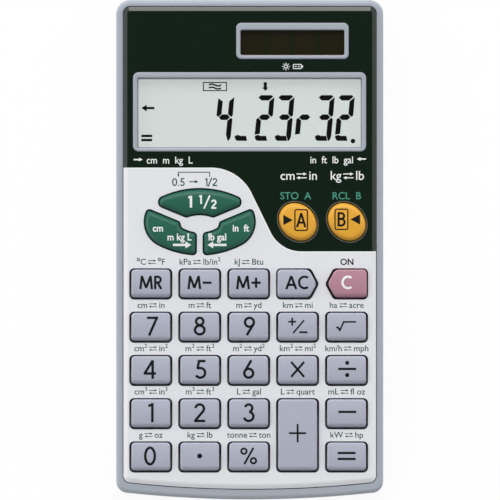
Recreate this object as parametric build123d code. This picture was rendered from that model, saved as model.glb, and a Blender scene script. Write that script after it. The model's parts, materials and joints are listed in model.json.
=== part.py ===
from build123d import *
import math
import os

# A flat pocket calculator lying on its back: +X right, +Y towards the display, +Z out of the keys.
# The origin is the middle of the back. All sizes are in millimetres.

# Body outline, seen from above
body_width = 70.0
body_length = 131.0
top_corner = 3.7
bottom_corner = 3.0
bow_radius = 300.0
inner_corner = 0.6

# Heights, from the back up
rear_floor = 1.2
board_gap = 1.7
board_thickness = 1.0
sheet_thickness = 0.6
dome_height = 1.25
lug_thickness = 0.6
lug_clearance = 0.05
deck_thickness = 0.8
plate_thickness = 1.4
plate_rise = 0.6
bezel_rise = 0.35
key_rise = 1.2
rear_height = 3.6

# Walls, rim and the joint between the two case halves
case_wall = 1.6
back_edge_radius = 2.0
rim_edge_radius = 1.2
parting_step = 0.15
lip_height = 0.8
lip_thickness = 0.7
lip_clearance = 0.1
rim_side = 1.68
rim_top = 1.58
rim_bottom = 2.58

# Face plate
plate_gap = 0.24
plate_corner = 1.8
bevel_width = 1.1
bevel_height = 0.55
shoulder_radius = 1.0
plate_clearance = 0.1

# Solar window, from the plate's top and right edges
solar_drop = 4.25
solar_inset = 7.17
solar_frame_width = 29.45
solar_frame_height = 9.48
solar_band_side = 1.1
solar_band_top = 1.88
solar_band_bottom = 1.02
solar_frame_corner = 1.3
solar_depth = 1.3
cell_overlap = 0.4
cell_thickness = 1.1
cell_clearance = 0.1

# Display window, below the solar window
display_drop = 3.45
display_inset_left = 2.5
display_inset_right = 2.6
display_frame_height = 20.78
display_band_side = 1.08
display_band_top = 1.5
display_band_bottom = 0.88
display_frame_corner = 1.5
window_corner = 0.5
bezel_outer_radius = 0.38
bezel_inner_radius = 0.42
ledge_width = 0.3
lens_thickness = 1.2
lens_clearance = 0.05

# Display glass, its connector strip and the rib that locates it
glass_overlap = 1.8
glass_plate = 1.1
glass_ledge = 3.5
glass_clearance = 0.15
rib_thickness = 0.8
rib_foot_gap = 0.7
connector_width = 2.2
connector_inset = 1.8

# Curved keys in the middle of the plate
cluster_drop = 9.53
cluster_half_width = 14.72
cluster_half_height = 8.88
cluster_end_radius = 7.0
hub_half_width = 4.98
hub_half_height = 2.23
hub_end_radius = 1.33
hub_drop = 0.55
spoke_width = 1.45
spoke_drop = 1.25
spoke_angle = 22.5
sector_corner = 1.1
tip_reach = 10.95
tip_corner = 1.5
rate_shift = 0.05
rate_half_long = 5.67
rate_half_short = 4.85
rate_end_radius = 4.36
rate_angle = -45.0
rate_ring = 0.25
rate_ring_angle = -45.0
sector_edge = 1.0
rate_edge = 1.2

# Square key field
field_left = 1.51
field_right = 2.07
field_gap = 3.3
field_bottom = 4.27
columns = 5
rows = 5
web_x = 1.52
web_y = 3.13
hole_corner = 1.3
point_depth = 2.2

# Keys
key_gap = 0.34
key_crown = 0.25
key_upper_edge = 0.35
key_lower_edge = 1.3
key_side_edge = 0.5
key_wall = 1.0
key_roof = 1.1
lug_reach = 0.45
lug_length = 4.0
deck_relief = 0.1

# Rubber sheet with its domes and carbon pads
sheet_margin = 0.9
sheet_top_margin = 1.8
dome_base_x = 6.4
dome_base_y = 5.6
dome_top_x = 3.6
dome_top_y = 3.0
dome_roof = 0.5
dome_skin = 0.6
pad_inset = 0.3
pad_thickness = 0.3
plunger_inset = 0.2

# Circuit board, its bosses and screws
board_clearance = 0.6
board_corner = 1.0
boss_radius = 1.4
boss_clearance = 0.35
upper_boss_drop = 5.4
board_screw_radius = 0.7
board_screw_head_radius = 1.4
board_screw_head = 0.9
board_screw_bite = 1.6
pilot_clearance = 0.02
support_rib = 1.0
support_gap = 0.05

# Case screws
screw_inset_x = 6.2
screw_key_gap = 0.2
case_boss_radius = 1.8
rear_boss_radius = 2.6
case_screw_radius = 0.85
case_screw_head_radius = 1.6
case_screw_head = 1.0
case_screw_sink = 0.2
case_screw_web = 1.0
case_screw_bite = 2.6
head_clearance = 0.2
shank_clearance = 0.15
boss_meeting_gap = 0.05
slot_length = 1.8
slot_width = 0.5
slot_depth = 0.5

# Coin cell and its contact strips
coin_radius = 5.8
coin_height = 3.1
coin_cap_radius = 4.9
coin_cap_height = 0.4
coin_drop = 9.5
coin_column_share = 0.545
coin_edge = 0.3
coin_clearance = 0.15
coin_ring = 0.8
coin_ring_gap = 0.1
strip_thickness = 0.2
strip_width = 4.0
strip_foot = 2.2
strip_side_gap = 0.5

# Chip cover and small parts under the board
blob_radius = 6.5
blob_height = 1.2
blob_edge = 0.8
blob_drop = 12.0
part_length = 2.0
part_width = 1.25
part_height = 0.6
part_pitch = 4.2
part_count = 5
part_drop = 9.5
can_radius = 0.75
can_length = 6.0

# Leads from the solar cell to the board
lead_radius = 0.3
lead_spacing_share = 0.3
lead_landing = 1.0
lead_level = 1.0
lead_start_share = 0.5

# Overrun used by every cut
over = 1.0

half_width = body_width / 2
half_length = body_length / 2
bow_centre = bow_radius - half_length

z_board = rear_floor + board_gap
z_sheet = z_board + board_thickness
z_dome = z_sheet + sheet_thickness
z_key = z_dome + dome_height
z_lug = z_key + lug_thickness
z_deck = z_lug + lug_clearance
z_seat = z_deck + deck_thickness
z_face = z_seat + plate_thickness
z_rim = z_face - plate_rise
z_bezel = z_face + bezel_rise
z_key_top = z_face + key_rise
z_shoulder = z_face - bevel_height

plate_side = rim_side + plate_gap
plate_left = plate_side - half_width
plate_right = half_width - plate_side
plate_top = half_length - rim_top - plate_gap
plate_low = rim_bottom + plate_gap - half_length

solar_x1 = plate_right - solar_inset
solar_x0 = solar_x1 - solar_frame_width
solar_y1 = plate_top - solar_drop
solar_y0 = solar_y1 - solar_frame_height

display_x0 = plate_left + display_inset_left
display_x1 = plate_right - display_inset_right
display_y1 = solar_y0 - display_drop
display_y0 = display_y1 - display_frame_height

cluster_y = display_y0 - cluster_drop - cluster_half_height
field_x0 = plate_left + field_left
field_x1 = plate_right - field_right
field_y1 = cluster_y - cluster_half_height - field_gap
field_y0 = plate_low + field_bottom
pitch_x = (field_x1 - field_x0 + web_x) / columns
pitch_y = (field_y1 - field_y0 + web_y) / rows
hole_width = pitch_x - web_x
hole_height = pitch_y - web_y


def column_x(column):
    return field_x0 + hole_width / 2 + column * pitch_x


def row_y(row):
    return field_y1 - hole_height / 2 - row * pitch_y


cluster_x = column_x(1)


def slab(face, z0, z1):
    return extrude(Pos(0, 0, z0) * face, amount=z1 - z0)


def frame_face(x0, x1, y0, y1, radius):
    middle = Pos((x0 + x1) / 2, (y0 + y1) / 2)
    return middle * RectangleRounded(x1 - x0, y1 - y0, radius)


def plain_face(x0, x1, y0, y1):
    return Pos((x0 + x1) / 2, (y0 + y1) / 2) * Rectangle(x1 - x0, y1 - y0)


def body_face(side, top, bottom, upper_radius, lower_radius):
    """The body's outline drawn in by side, top and bottom, with its bowed lower edge."""
    x = half_width - side
    y = half_length - top
    arc_radius = bow_radius - bottom
    y_middle = bow_centre - arc_radius
    y_end = bow_centre - math.sqrt(arc_radius**2 - x**2)
    edges = Curve() + [
        Line((-x, y_end), (-x, y)),
        Line((-x, y), (x, y)),
        Line((x, y), (x, y_end)),
        ThreePointArc((x, y_end), (0, y_middle), (-x, y_end)),
    ]
    face = make_face(edges)
    face = fillet(face.vertices().sort_by(Axis.Y)[-2:], upper_radius)
    return fillet(face.vertices().sort_by(Axis.Y)[:2], lower_radius)


def inset_face(inset):
    """The body's outline drawn in evenly."""
    upper = max(top_corner - inset, inner_corner)
    lower = max(bottom_corner - inset, inner_corner)
    return body_face(inset, inset, inset, upper, lower)


def square_hole(gap, span=1):
    """A key's outline in the plate, drawn in by gap. span is how many rows it covers."""
    height = hole_height + (span - 1) * pitch_y
    radius = max(hole_corner - gap, key_side_edge)
    return RectangleRounded(hole_width - 2 * gap, height - 2 * gap, radius)


def pointed_hole(gap, side):
    """The same outline with one end drawn out to a blunt point. side is 1 for right, -1 for left."""
    half_x = hole_width / 2
    half_y = hole_height / 2
    slope = point_depth / half_y
    tip = half_x - gap * math.hypot(1, slope)
    y = half_y - gap
    shoulder = tip - slope * y
    tail = gap - half_x
    outline = [(tail, -y), (shoulder, -y), (tip, 0), (shoulder, y), (tail, y)]
    face = make_face(Polyline(outline, close=True))
    face = fillet(face.vertices(), max(hole_corner - gap, key_side_edge))
    return face if side > 0 else mirror(face, about=Plane.YZ)


def oval(half_long, half_short, end_radius):
    """An oval of four arcs that meet smoothly, longest along X."""
    reach = half_long - end_radius
    side_radius = (reach**2 + half_short**2 - end_radius**2) / (2 * (half_short - end_radius))
    middle = side_radius - half_short
    stretch = end_radius / math.hypot(reach, middle)
    x = reach + reach * stretch
    y = middle * stretch
    edges = Curve() + [
        ThreePointArc((x, -y), (half_long, 0), (x, y)),
        ThreePointArc((x, y), (0, half_short), (-x, y)),
        ThreePointArc((-x, y), (-half_long, 0), (-x, -y)),
        ThreePointArc((-x, -y), (0, -half_short), (x, -y)),
    ]
    return make_face(edges)


def blunt_segment(gap):
    """The large oval's upper side as one arc, cut off square at both ends."""
    reach = cluster_half_width - cluster_end_radius
    rise = cluster_half_height - cluster_end_radius
    side_radius = (reach**2 + cluster_half_height**2 - cluster_end_radius**2) / (2 * rise)
    disc = Pos(0, cluster_half_height - side_radius) * Circle(side_radius - gap)
    return disc & Rectangle(2 * (tip_reach - gap), 2 * side_radius)


def sector_block(gap, number, z0, z1):
    """One of the three blocks that share the large oval: upper, left or right, drawn in by gap."""
    if number == 0:
        outer = blunt_segment(gap)
    else:
        outer = oval(cluster_half_width - gap, cluster_half_height - gap, cluster_end_radius - gap)
    hub = Pos(0, -hub_drop) * oval(hub_half_width + gap, hub_half_height + gap, hub_end_radius + gap)
    reach = 2 * cluster_half_width
    spoke = Pos(reach / 2, 0) * Rectangle(reach, spoke_width + 2 * gap)
    meeting = Pos(0, -spoke_drop)
    rest = outer - hub
    for angle in (spoke_angle, 180 - spoke_angle, -90):
        rest -= meeting * Rot(0, 0, angle) * spoke
    lower = rest.faces().sort_by(Axis.Y)[:2].sort_by(Axis.X)
    face = (rest.faces().sort_by(Axis.Y)[-1], lower[0], lower[1])[number]
    block = slab(face, z0, z1)
    ends = block.faces().filter_by(Axis.Z)
    flat_sides = [side for side in block.faces().filter_by(GeomType.PLANE) if side not in ends]
    corners = [edge for side in flat_sides for edge in side.edges().filter_by(Axis.Z)]
    tips = [edge.center() for edge in corners if number == 0 and abs(edge.center().X) > tip_reach - gap - over]
    inner = [edge for edge in corners if edge.center() not in tips]
    block = fillet(inner, max(sector_corner - gap, key_gap))
    if number == 0:
        block = fillet(block.edges().filter_by(lambda edge: edge.center() in tips), tip_corner - gap)
    return Pos(cluster_x, cluster_y) * block


def rate_hole(gap):
    """The leaning oval of the two small round keys."""
    flat = oval(rate_half_long - gap, rate_half_short - gap, rate_end_radius - gap)
    return Rot(0, 0, rate_angle) * flat


# Where every key stands, with the name of its node
square_keys = {
    "key_memory_recall": (0, 0),
    "key_memory_minus": (1, 0),
    "key_memory_plus": (2, 0),
    "key_7": (0, 1),
    "key_8": (1, 1),
    "key_9": (2, 1),
    "key_sign": (3, 1),
    "key_root": (4, 1),
    "key_4": (0, 2),
    "key_5": (1, 2),
    "key_6": (2, 2),
    "key_times": (3, 2),
    "key_divide": (4, 2),
    "key_1": (0, 3),
    "key_2": (1, 3),
    "key_3": (2, 3),
    "key_minus": (4, 3),
    "key_0": (0, 4),
    "key_point": (1, 4),
    "key_percent": (2, 4),
    "key_equals": (4, 4),
}
pointed_keys = {"key_all_clear": (3, 1), "key_clear": (4, -1)}
sector_keys = ["key_fraction", "key_to_metric", "key_from_metric"]
rate_keys = {"key_rate_a": 3, "key_rate_b": 4}
tall_place = Pos(column_x(3), (row_y(3) + row_y(4)) / 2)


def square_place(cell):
    return Pos(column_x(cell[0]), row_y(cell[1]))


def rate_place(column):
    return Pos(column_x(column) + rate_shift, cluster_y)


def key_holes(gap):
    """Every key outline but the cluster's, as one drawing."""
    holes = [square_place(cell) * square_hole(gap) for cell in square_keys.values()]
    holes += [tall_place * square_hole(gap, 2)]
    for column, side in pointed_keys.values():
        holes += [square_place((column, 0)) * pointed_hole(gap, side)]
    holes += [rate_place(column) * rate_hole(gap) for column in rate_keys.values()]
    return Sketch() + holes


# Key caps, each hollow below with a plunger in the middle
def plunger():
    width = dome_top_x - 2 * plunger_inset
    depth = dome_top_y - 2 * plunger_inset
    return slab(Rectangle(width, depth), z_key, z_key_top - key_roof)


def hollow(cap, pocket):
    return cap - slab(pocket, z_key - over, z_key_top - key_roof - key_crown) + plunger()


def crowned_cap(span=1):
    """A square cap, crowned from front to back, with a broad roll on its near edge."""
    width = hole_width - 2 * key_gap
    depth = hole_height + (span - 1) * pitch_y - 2 * key_gap
    z_edge = z_key_top - key_crown
    near = (-depth / 2, z_edge)
    far = (depth / 2, z_edge)
    side_view = Curve() + [
        Line((-depth / 2, z_key), near),
        ThreePointArc(near, (0, z_key_top), far),
        Line(far, (depth / 2, z_key)),
        Line((depth / 2, z_key), (-depth / 2, z_key)),
    ]
    profile = make_face(side_view)
    top_points = profile.vertices().sort_by(Axis.Y)[-2:].sort_by(Axis.X)
    profile = fillet(top_points[0], key_lower_edge)
    top_points = profile.vertices().sort_by(Axis.X)[-2:].sort_by(Axis.Y)
    profile = fillet(top_points[-1], key_upper_edge)
    rolled = extrude(Plane.YZ * profile, amount=width / 2 + over, both=True)
    front = Pos(0, (z_key + z_key_top) / 2) * Rectangle(width, z_key_top - z_key)
    front = fillet(front.vertices().sort_by(Axis.Y)[-2:], key_side_edge)
    sided = extrude(Plane.XZ * front, amount=depth / 2 + over, both=True)
    cap = slab(square_hole(key_gap, span), z_key, z_key_top) & rolled & sided
    lug = slab(Rectangle(hole_width + 2 * lug_reach, lug_length), z_key, z_lug)
    start = -pitch_y * (span - 1) / 2
    cap += [Pos(0, start + pitch_y * n) * lug for n in range(span)]
    return hollow(cap, Rectangle(width - 2 * key_wall, depth - 2 * key_wall))


def pointed_cap(side):
    cap = slab(pointed_hole(key_gap, side), z_key, z_key_top - key_crown)
    cap = fillet(cap.faces().sort_by(Axis.Z)[-1].edges(), key_side_edge)
    flange = slab(pointed_hole(-lug_reach, side), z_key, z_lug)
    return hollow(cap + flange, pointed_hole(key_gap + key_wall, side))


def sector_cap(number):
    cap = sector_block(key_gap, number, z_key, z_key_top - key_crown)
    cap = fillet(cap.faces().sort_by(Axis.Z)[-1].edges(), sector_edge)
    cap += sector_block(-lug_reach, number, z_key, z_lug)
    middle = cap.faces().sort_by(Axis.Z)[-1].center()
    roof = z_key_top - key_roof - key_crown
    cap -= sector_block(key_gap + key_wall, number, z_key - over, roof)
    return cap + Pos(middle.X, middle.Y) * plunger(), (middle.X, middle.Y)


def rate_cap():
    cap = slab(rate_hole(key_gap), z_key, z_key_top - key_crown)
    cap = fillet(cap.faces().sort_by(Axis.Z)[-1].edges(), rate_edge)
    flange = slab(rate_hole(-lug_reach), z_key, z_lug)
    return hollow(cap + flange, rate_hole(key_gap + key_wall))


nodes = {}
dome_points = []
square_cap = crowned_cap()
for name, cell in square_keys.items():
    nodes[name] = square_place(cell) * square_cap
    dome_points.append((column_x(cell[0]), row_y(cell[1])))
nodes["key_plus"] = tall_place * crowned_cap(2)
dome_points.append((column_x(3), (row_y(3) + row_y(4)) / 2))
for name, (column, side) in pointed_keys.items():
    nodes[name] = square_place((column, 0)) * pointed_cap(side)
    dome_points.append((column_x(column), row_y(0)))
for number, name in enumerate(sector_keys):
    nodes[name], point = sector_cap(number)
    dome_points.append(point)
for name, column in rate_keys.items():
    nodes[name] = rate_place(column) * rate_cap()
    dome_points.append((column_x(column) + rate_shift, cluster_y))

# Face plate: one moulding with a bevelled edge, pierced for the keys and the two bezels
edge_top = rim_top + plate_gap
edge_low = rim_bottom + plate_gap
plate_base = body_face(plate_side, edge_top, edge_low, plate_corner, plate_corner)
crest_corner = max(plate_corner - bevel_width, inner_corner)
plate_crest = body_face(
    plate_side + bevel_width,
    edge_top + bevel_width,
    edge_low + bevel_width,
    crest_corner,
    crest_corner,
)
bevel_foot = Pos(0, 0, z_shoulder) * plate_base.face()
bevel_crest = Pos(0, 0, z_face) * plate_crest.face()
plate = slab(plate_base, z_seat, z_shoulder) + loft([bevel_foot, bevel_crest], ruled=True)
plate = fillet(plate.faces().sort_by(Axis.Z)[-1].edges(), shoulder_radius)
display_opening = frame_face(
    display_x0 - plate_clearance,
    display_x1 + plate_clearance,
    display_y0 - plate_clearance,
    display_y1 + plate_clearance,
    display_frame_corner + plate_clearance,
)
solar_opening = frame_face(
    solar_x0 - plate_clearance,
    solar_x1 + plate_clearance,
    solar_y0 - plate_clearance,
    solar_y1 + plate_clearance,
    solar_frame_corner + plate_clearance,
)
plate -= slab(display_opening, z_seat - over, z_face + over)
plate -= slab(solar_opening, z_seat - over, z_face + over)
plate -= slab(key_holes(0), z_seat - over, z_face + over)
for number in range(len(sector_keys)):
    plate -= sector_block(0, number, z_seat - over, z_face + over)
ring_foot = Pos(0, 0, z_face - rate_ring) * rate_hole(0)
ring = extrude(ring_foot, amount=rate_ring, taper=rate_ring_angle)
plate -= [rate_place(column) * ring for column in rate_keys.values()]
nodes["face_plate"] = plate

# Front case: walls, rim, deck with the key holes, and the two raised bezels
window_x0 = display_x0 + display_band_side
window_x1 = display_x1 - display_band_side
window_y0 = display_y0 + display_band_bottom
window_y1 = display_y1 - display_band_top
pane_x0 = solar_x0 + solar_band_side
pane_x1 = solar_x1 - solar_band_side
pane_y0 = solar_y0 + solar_band_bottom
pane_y1 = solar_y1 - solar_band_top


def bezel(x0, x1, y0, y1, radius, opening):
    ring = slab(frame_face(x0, x1, y0, y1, radius), z_seat, z_bezel)
    ring -= slab(opening, z_seat - over, z_bezel + over)
    top = ring.faces().sort_by(Axis.Z)[-1]
    inner = [edge.center() for edge in top.inner_wires()[0].edges()]
    ring = fillet(ring.edges().filter_by(lambda edge: edge.center() in inner), bezel_inner_radius)
    outer = ring.faces().sort_by(Axis.Z)[-1].outer_wire().edges()
    return fillet(outer, bezel_outer_radius)


display_window = frame_face(window_x0, window_x1, window_y0, window_y1, window_corner)
solar_pane = frame_face(pane_x0, pane_x1, pane_y0, pane_y1, window_corner)
front = slab(inset_face(0), rear_height, z_rim)
front = fillet(front.faces().sort_by(Axis.Z)[-1].edges(), rim_edge_radius)
bed_corner = plate_corner + plate_gap
plate_bed = body_face(rim_side, rim_top, rim_bottom, bed_corner, bed_corner)
front -= slab(plate_bed, z_seat, z_rim + over)
front -= slab(inset_face(case_wall), rear_height - over, z_deck)
lip_recess = inset_face(case_wall - lip_thickness - lip_clearance)
front -= slab(lip_recess, rear_height - over, rear_height + lip_height + lip_clearance)
front += bezel(display_x0, display_x1, display_y0, display_y1, display_frame_corner, display_window)
front += bezel(solar_x0, solar_x1, solar_y0, solar_y1, solar_frame_corner, solar_pane)
display_light = plain_face(
    window_x0 + ledge_width,
    window_x1 - ledge_width,
    window_y0 + ledge_width,
    window_y1 - ledge_width,
)
front -= slab(display_light, z_deck - over, z_seat + over)
z_cell = z_bezel - solar_depth
front -= slab(solar_pane, z_cell - over, z_bezel + over)
cell_x0 = pane_x0 - cell_overlap
cell_x1 = pane_x1 + cell_overlap
cell_y0 = pane_y0 - cell_overlap
cell_y1 = pane_y1 + cell_overlap
cell_bed = plain_face(
    cell_x0 - cell_clearance,
    cell_x1 + cell_clearance,
    cell_y0 - cell_clearance,
    cell_y1 + cell_clearance,
)
front -= slab(cell_bed, z_deck - over, z_cell)
front -= slab(key_holes(-deck_relief), z_deck - over, z_seat + over)
for number in range(len(sector_keys)):
    front -= sector_block(-deck_relief, number, z_deck - over, z_seat + over)

# Rib round the display glass, under the deck
glass_x0 = window_x0 - glass_overlap
glass_x1 = window_x1 + glass_overlap
glass_y0 = window_y0 - glass_overlap
glass_y1 = window_y1 + glass_overlap
z_glass = z_deck - lug_clearance
rib_z = z_sheet + rib_foot_gap
rib = plain_face(
    glass_x0 - glass_clearance - rib_thickness,
    glass_x1 + glass_clearance + rib_thickness,
    glass_y0 - glass_clearance - rib_thickness,
    glass_y1 + glass_clearance + rib_thickness,
)
rib -= plain_face(
    glass_x0 - glass_clearance,
    glass_x1 + glass_clearance,
    glass_y0 - glass_clearance,
    glass_y1 + glass_clearance,
)
front += slab(rib, rib_z, z_deck)

# Bosses for the board screws and the case screws
left_web = (column_x(0) + column_x(1)) / 2
right_web = (column_x(3) + column_x(4)) / 2
boss_rows = [display_y0 - upper_boss_drop, (row_y(0) + row_y(1)) / 2]
board_points = [(x, y) for x in (left_web, right_web) for y in boss_rows]
board_points += [(column_x(column), (row_y(3) + row_y(4)) / 2) for column in (0, 4)]
case_x = half_width - screw_inset_x
case_y = case_boss_radius + screw_key_gap + deck_relief - field_y0
case_points = [(x, y) for x in (-case_x, case_x) for y in (-case_y, case_y)]
z_rear_boss = case_screw_sink + case_screw_head + case_screw_web


def discs(points, radius):
    return Sketch() + [Pos(x, y) * Circle(radius) for x, y in points]


front += slab(discs(board_points, boss_radius), z_sheet, z_deck)
front += slab(discs(case_points, case_boss_radius), z_rear_boss + boss_meeting_gap, z_deck)
board_pilot = board_screw_radius + pilot_clearance
case_pilot = case_screw_radius + pilot_clearance
z_board_tip = z_sheet + board_screw_bite
front -= slab(discs(board_points, board_pilot), z_sheet - over, z_board_tip + support_gap)
z_case_tip = z_rear_boss + case_screw_bite
front -= slab(discs(case_points, case_pilot), z_rear_boss - over, z_case_tip + support_gap)
nodes["front_case"] = front

# Rear case: a shallow tray with a lip, screw seats, board ribs and a ring for the coin cell
rear = slab(inset_face(parting_step), 0, rear_height)
rear = fillet(rear.faces().sort_by(Axis.Z)[0].edges(), back_edge_radius)
lip = slab(inset_face(case_wall - lip_thickness), rear_height - over, rear_height + lip_height)
lip_notches = discs(case_points, case_boss_radius + lip_clearance)
rear += lip - slab(lip_notches, rear_height, rear_height + lip_height)
rear -= slab(inset_face(case_wall), rear_floor, rear_height + lip_height + over)
rear += slab(discs(case_points, rear_boss_radius), rear_floor - over / 2, z_rear_boss)
head_seats = discs(case_points, case_screw_head_radius + head_clearance)
rear -= slab(head_seats, -over, case_screw_sink + case_screw_head)
rear -= slab(discs(case_points, case_screw_radius + shank_clearance), -over, z_rear_boss + over)
for row in (1, 2):
    y = (row_y(row) + row_y(row + 1)) / 2
    rib_face = plain_face(field_x0, field_x1, y - support_rib / 2, y + support_rib / 2)
    rear += slab(rib_face, rear_floor, z_board - support_gap)
coin_x = plate_left * coin_column_share
coin_y = half_length - coin_drop
coin_wall = coin_radius + coin_clearance
coin_face = Circle(coin_wall + coin_ring) - Circle(coin_wall)
coin_face -= Pos(0, -coin_radius) * Rectangle(strip_width + 2 * strip_side_gap, coin_radius)
rear += Pos(coin_x, coin_y) * slab(coin_face, rear_floor, z_board - coin_ring_gap)
nodes["rear_case"] = rear

# Screws: a plain shank on a flat head, standing head down
def screw(head_radius, head, radius, length):
    return slab(Circle(head_radius), 0, head) + slab(Circle(radius), head, head + length)


case_shank = case_screw_web + case_screw_bite
case_screw = screw(case_screw_head_radius, case_screw_head, case_screw_radius, case_shank)
cross = Rectangle(slot_length, slot_width) + Rectangle(slot_width, slot_length)
case_screw = (case_screw - slab(cross, -over, slot_depth)).solid()
nodes["case_screws"] = Compound([Pos(x, y, case_screw_sink) * case_screw for x, y in case_points])
board_shank = board_thickness + board_screw_bite
board_screw = screw(board_screw_head_radius, board_screw_head, board_screw_radius, board_shank).solid()
z_board_screw = z_board - board_screw_head
nodes["board_screws"] = Compound([Pos(x, y, z_board_screw) * board_screw for x, y in board_points])

# Circuit board, reaching from the lower bosses to the coin cell
board_x = half_width - case_wall - lip_clearance - board_clearance
board_y0 = case_boss_radius + board_clearance - case_y
board_y1 = coin_y - coin_radius - board_clearance
board = slab(frame_face(-board_x, board_x, board_y0, board_y1, board_corner), z_board, z_sheet)
board -= slab(discs(board_points, board_screw_radius + shank_clearance), z_board - over, z_sheet + over)
nodes["circuit_board"] = board

# Chip under its cover of resin, and the small parts beside it, all under the board
blob_y = display_y0 - blob_drop
blob = slab(Circle(blob_radius), z_board - blob_height, z_board)
blob = chamfer(blob.faces().sort_by(Axis.Z)[0].edges(), blob_edge)
nodes["chip_cover"] = Pos(0, blob_y) * blob
chip = slab(Rectangle(part_length, part_width), z_board - part_height, z_board).solid()
part_y = blob_y + part_drop
part_start = -part_pitch * (part_count - 1) / 2
small_parts = [Pos(part_start + part_pitch * n, part_y) * chip for n in range(part_count)]
can = Rot(0, 90, 0) * Cylinder(can_radius, can_length)
nodes["board_parts"] = Compound(small_parts)
nodes["crystal"] = Pos(0, blob_y - part_drop, z_board - can_radius) * can

# Display glass: a front plate over a shorter rear one, with the connector strip under its ledge
z_glass_step = z_glass - glass_plate
glass = slab(plain_face(glass_x0, glass_x1, glass_y0, glass_y1), z_glass_step, z_glass)
rear_glass = plain_face(glass_x0, glass_x1, glass_y0 + glass_ledge, glass_y1)
glass += slab(rear_glass, z_glass_step - glass_plate, z_glass_step)
nodes["display_glass"] = glass
connector_y = glass_y0 + connector_inset
connector_face = plain_face(
    glass_x0 + connector_inset,
    glass_x1 - connector_inset,
    connector_y - connector_width / 2,
    connector_y + connector_width / 2,
)
nodes["display_connector"] = slab(connector_face, z_sheet, z_glass_step)
lens_face = frame_face(
    window_x0 + lens_clearance,
    window_x1 - lens_clearance,
    window_y0 + lens_clearance,
    window_y1 - lens_clearance,
    window_corner,
)
nodes["display_window"] = slab(lens_face, z_seat, z_seat + lens_thickness)
z_cell_top = z_cell - lug_clearance
z_cell_low = z_cell_top - cell_thickness
nodes["solar_cell"] = slab(plain_face(cell_x0, cell_x1, cell_y0, cell_y1), z_cell_low, z_cell_top)

# Rubber sheet: one moulding with a hollow dome and a carbon pad under every key
sheet_y0 = field_y0 - sheet_margin
sheet_y1 = cluster_y + cluster_half_height + sheet_top_margin
sheet_face = plain_face(field_x0 - sheet_margin, field_x1 + sheet_margin, sheet_y0, sheet_y1)
sheet_face -= discs(board_points, boss_radius + boss_clearance)
sheet_face -= discs(case_points, case_boss_radius + boss_clearance)


def tapered(x0, y0, x1, y1, z0, z1):
    """A square dome from x0 by y0 at z0 to x1 by y1 at z1."""
    in_x = (x0 - x1) / 2
    in_y = (y0 - y1) / 2
    seat = (Align.CENTER, Align.MIN, Align.CENTER)
    block = Wedge(x0, z1 - z0, y0, in_x, in_y, x0 - in_x, y0 - in_y, align=seat)
    return Pos(0, 0, z0) * Rot(90, 0, 0) * block


dome = tapered(dome_base_x, dome_base_y, dome_top_x, dome_top_y, z_dome, z_key)
z_ceiling = z_key - dome_roof
room = tapered(
    dome_base_x - 2 * dome_skin,
    dome_base_y - 2 * dome_skin,
    dome_top_x - dome_skin,
    dome_top_y - dome_skin,
    z_sheet,
    z_ceiling,
)
pad_face = Rectangle(dome_top_x - dome_skin - 2 * pad_inset, dome_top_y - dome_skin - 2 * pad_inset)
pad = slab(pad_face, z_ceiling - pad_thickness, z_ceiling)
sheet = slab(sheet_face, z_sheet, z_dome)
sheet += [Pos(x, y) * dome for x, y in dome_points]
sheet -= [Pos(x, y) * room for x, y in dome_points]
pads = [Pos(x, y) * pad.solid() for x, y in dome_points]
nodes["rubber_keypad"] = Compound([sheet.solid()] + pads)

# Coin cell, standing on its negative cap, with a spring strip below and one above
z_coin = rear_floor + strip_thickness
coin_profile = [
    (0, z_coin),
    (coin_cap_radius, z_coin),
    (coin_cap_radius, z_coin + coin_cap_height),
    (coin_radius - coin_edge, z_coin + coin_cap_height),
    (coin_radius, z_coin + coin_cap_height + coin_edge),
    (coin_radius, z_coin + coin_height - coin_edge),
    (coin_radius - coin_edge, z_coin + coin_height),
    (0, z_coin + coin_height),
]
coin = revolve(Plane.XZ * make_face(Polyline(coin_profile, close=True)), Axis.Z)
nodes["coin_cell"] = Pos(coin_x, coin_y) * coin


def strip(z_cell_side, z_board_side, turn):
    """A flat spring strip: along the cell, down or up past the board's edge, and along the board."""
    y_far = coin_y
    y_bend = board_y1 + strip_thickness
    y_near = board_y1 - strip_foot
    t = strip_thickness
    outline = [
        (y_far, z_cell_side),
        (y_far, z_cell_side + turn * t),
        (y_bend - t, z_cell_side + turn * t),
        (y_bend - t, z_board_side + turn * t),
        (y_near, z_board_side + turn * t),
        (y_near, z_board_side),
        (y_bend, z_board_side),
        (y_bend, z_cell_side),
    ]
    face = make_face(Polyline(outline, close=True))
    return Pos(coin_x) * extrude(Plane.YZ * face, amount=strip_width / 2, both=True)


nodes["coin_contact_lower"] = strip(rear_floor + strip_thickness, z_board, -1)
nodes["coin_contact_upper"] = strip(z_coin + coin_height, z_sheet, 1)

# Two leads from the solar cell down to the board's top edge
leads = []
lead_y0 = cell_y0 + (cell_y1 - cell_y0) * lead_start_share
lead_y1 = board_y1 - lead_landing
z_run = z_sheet + lead_level
for share in (lead_spacing_share, 1 - lead_spacing_share):
    x = cell_x0 + (cell_x1 - cell_x0) * share
    route = [(x, lead_y0, z_cell_low), (x, lead_y0, z_run), (x, lead_y1, z_run), (x, lead_y1, z_sheet)]
    bend = (z_run - z_sheet) / 2
    path = FilletPolyline(route, radius=bend)
    start = Plane(origin=route[0], z_dir=(0, 0, -1))
    leads.append(sweep(start * Circle(lead_radius), path=path).solid())
nodes["solar_leads"] = Compound(leads)

os.makedirs("parts", exist_ok=True)
for name, shape in nodes.items():
    export_step(shape, f"parts/{name}.step")
print(len(nodes), "nodes")
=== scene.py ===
"""A pocket calculator for unit conversion: finishes for its mouldings, crowned keys and all its print."""

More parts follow.
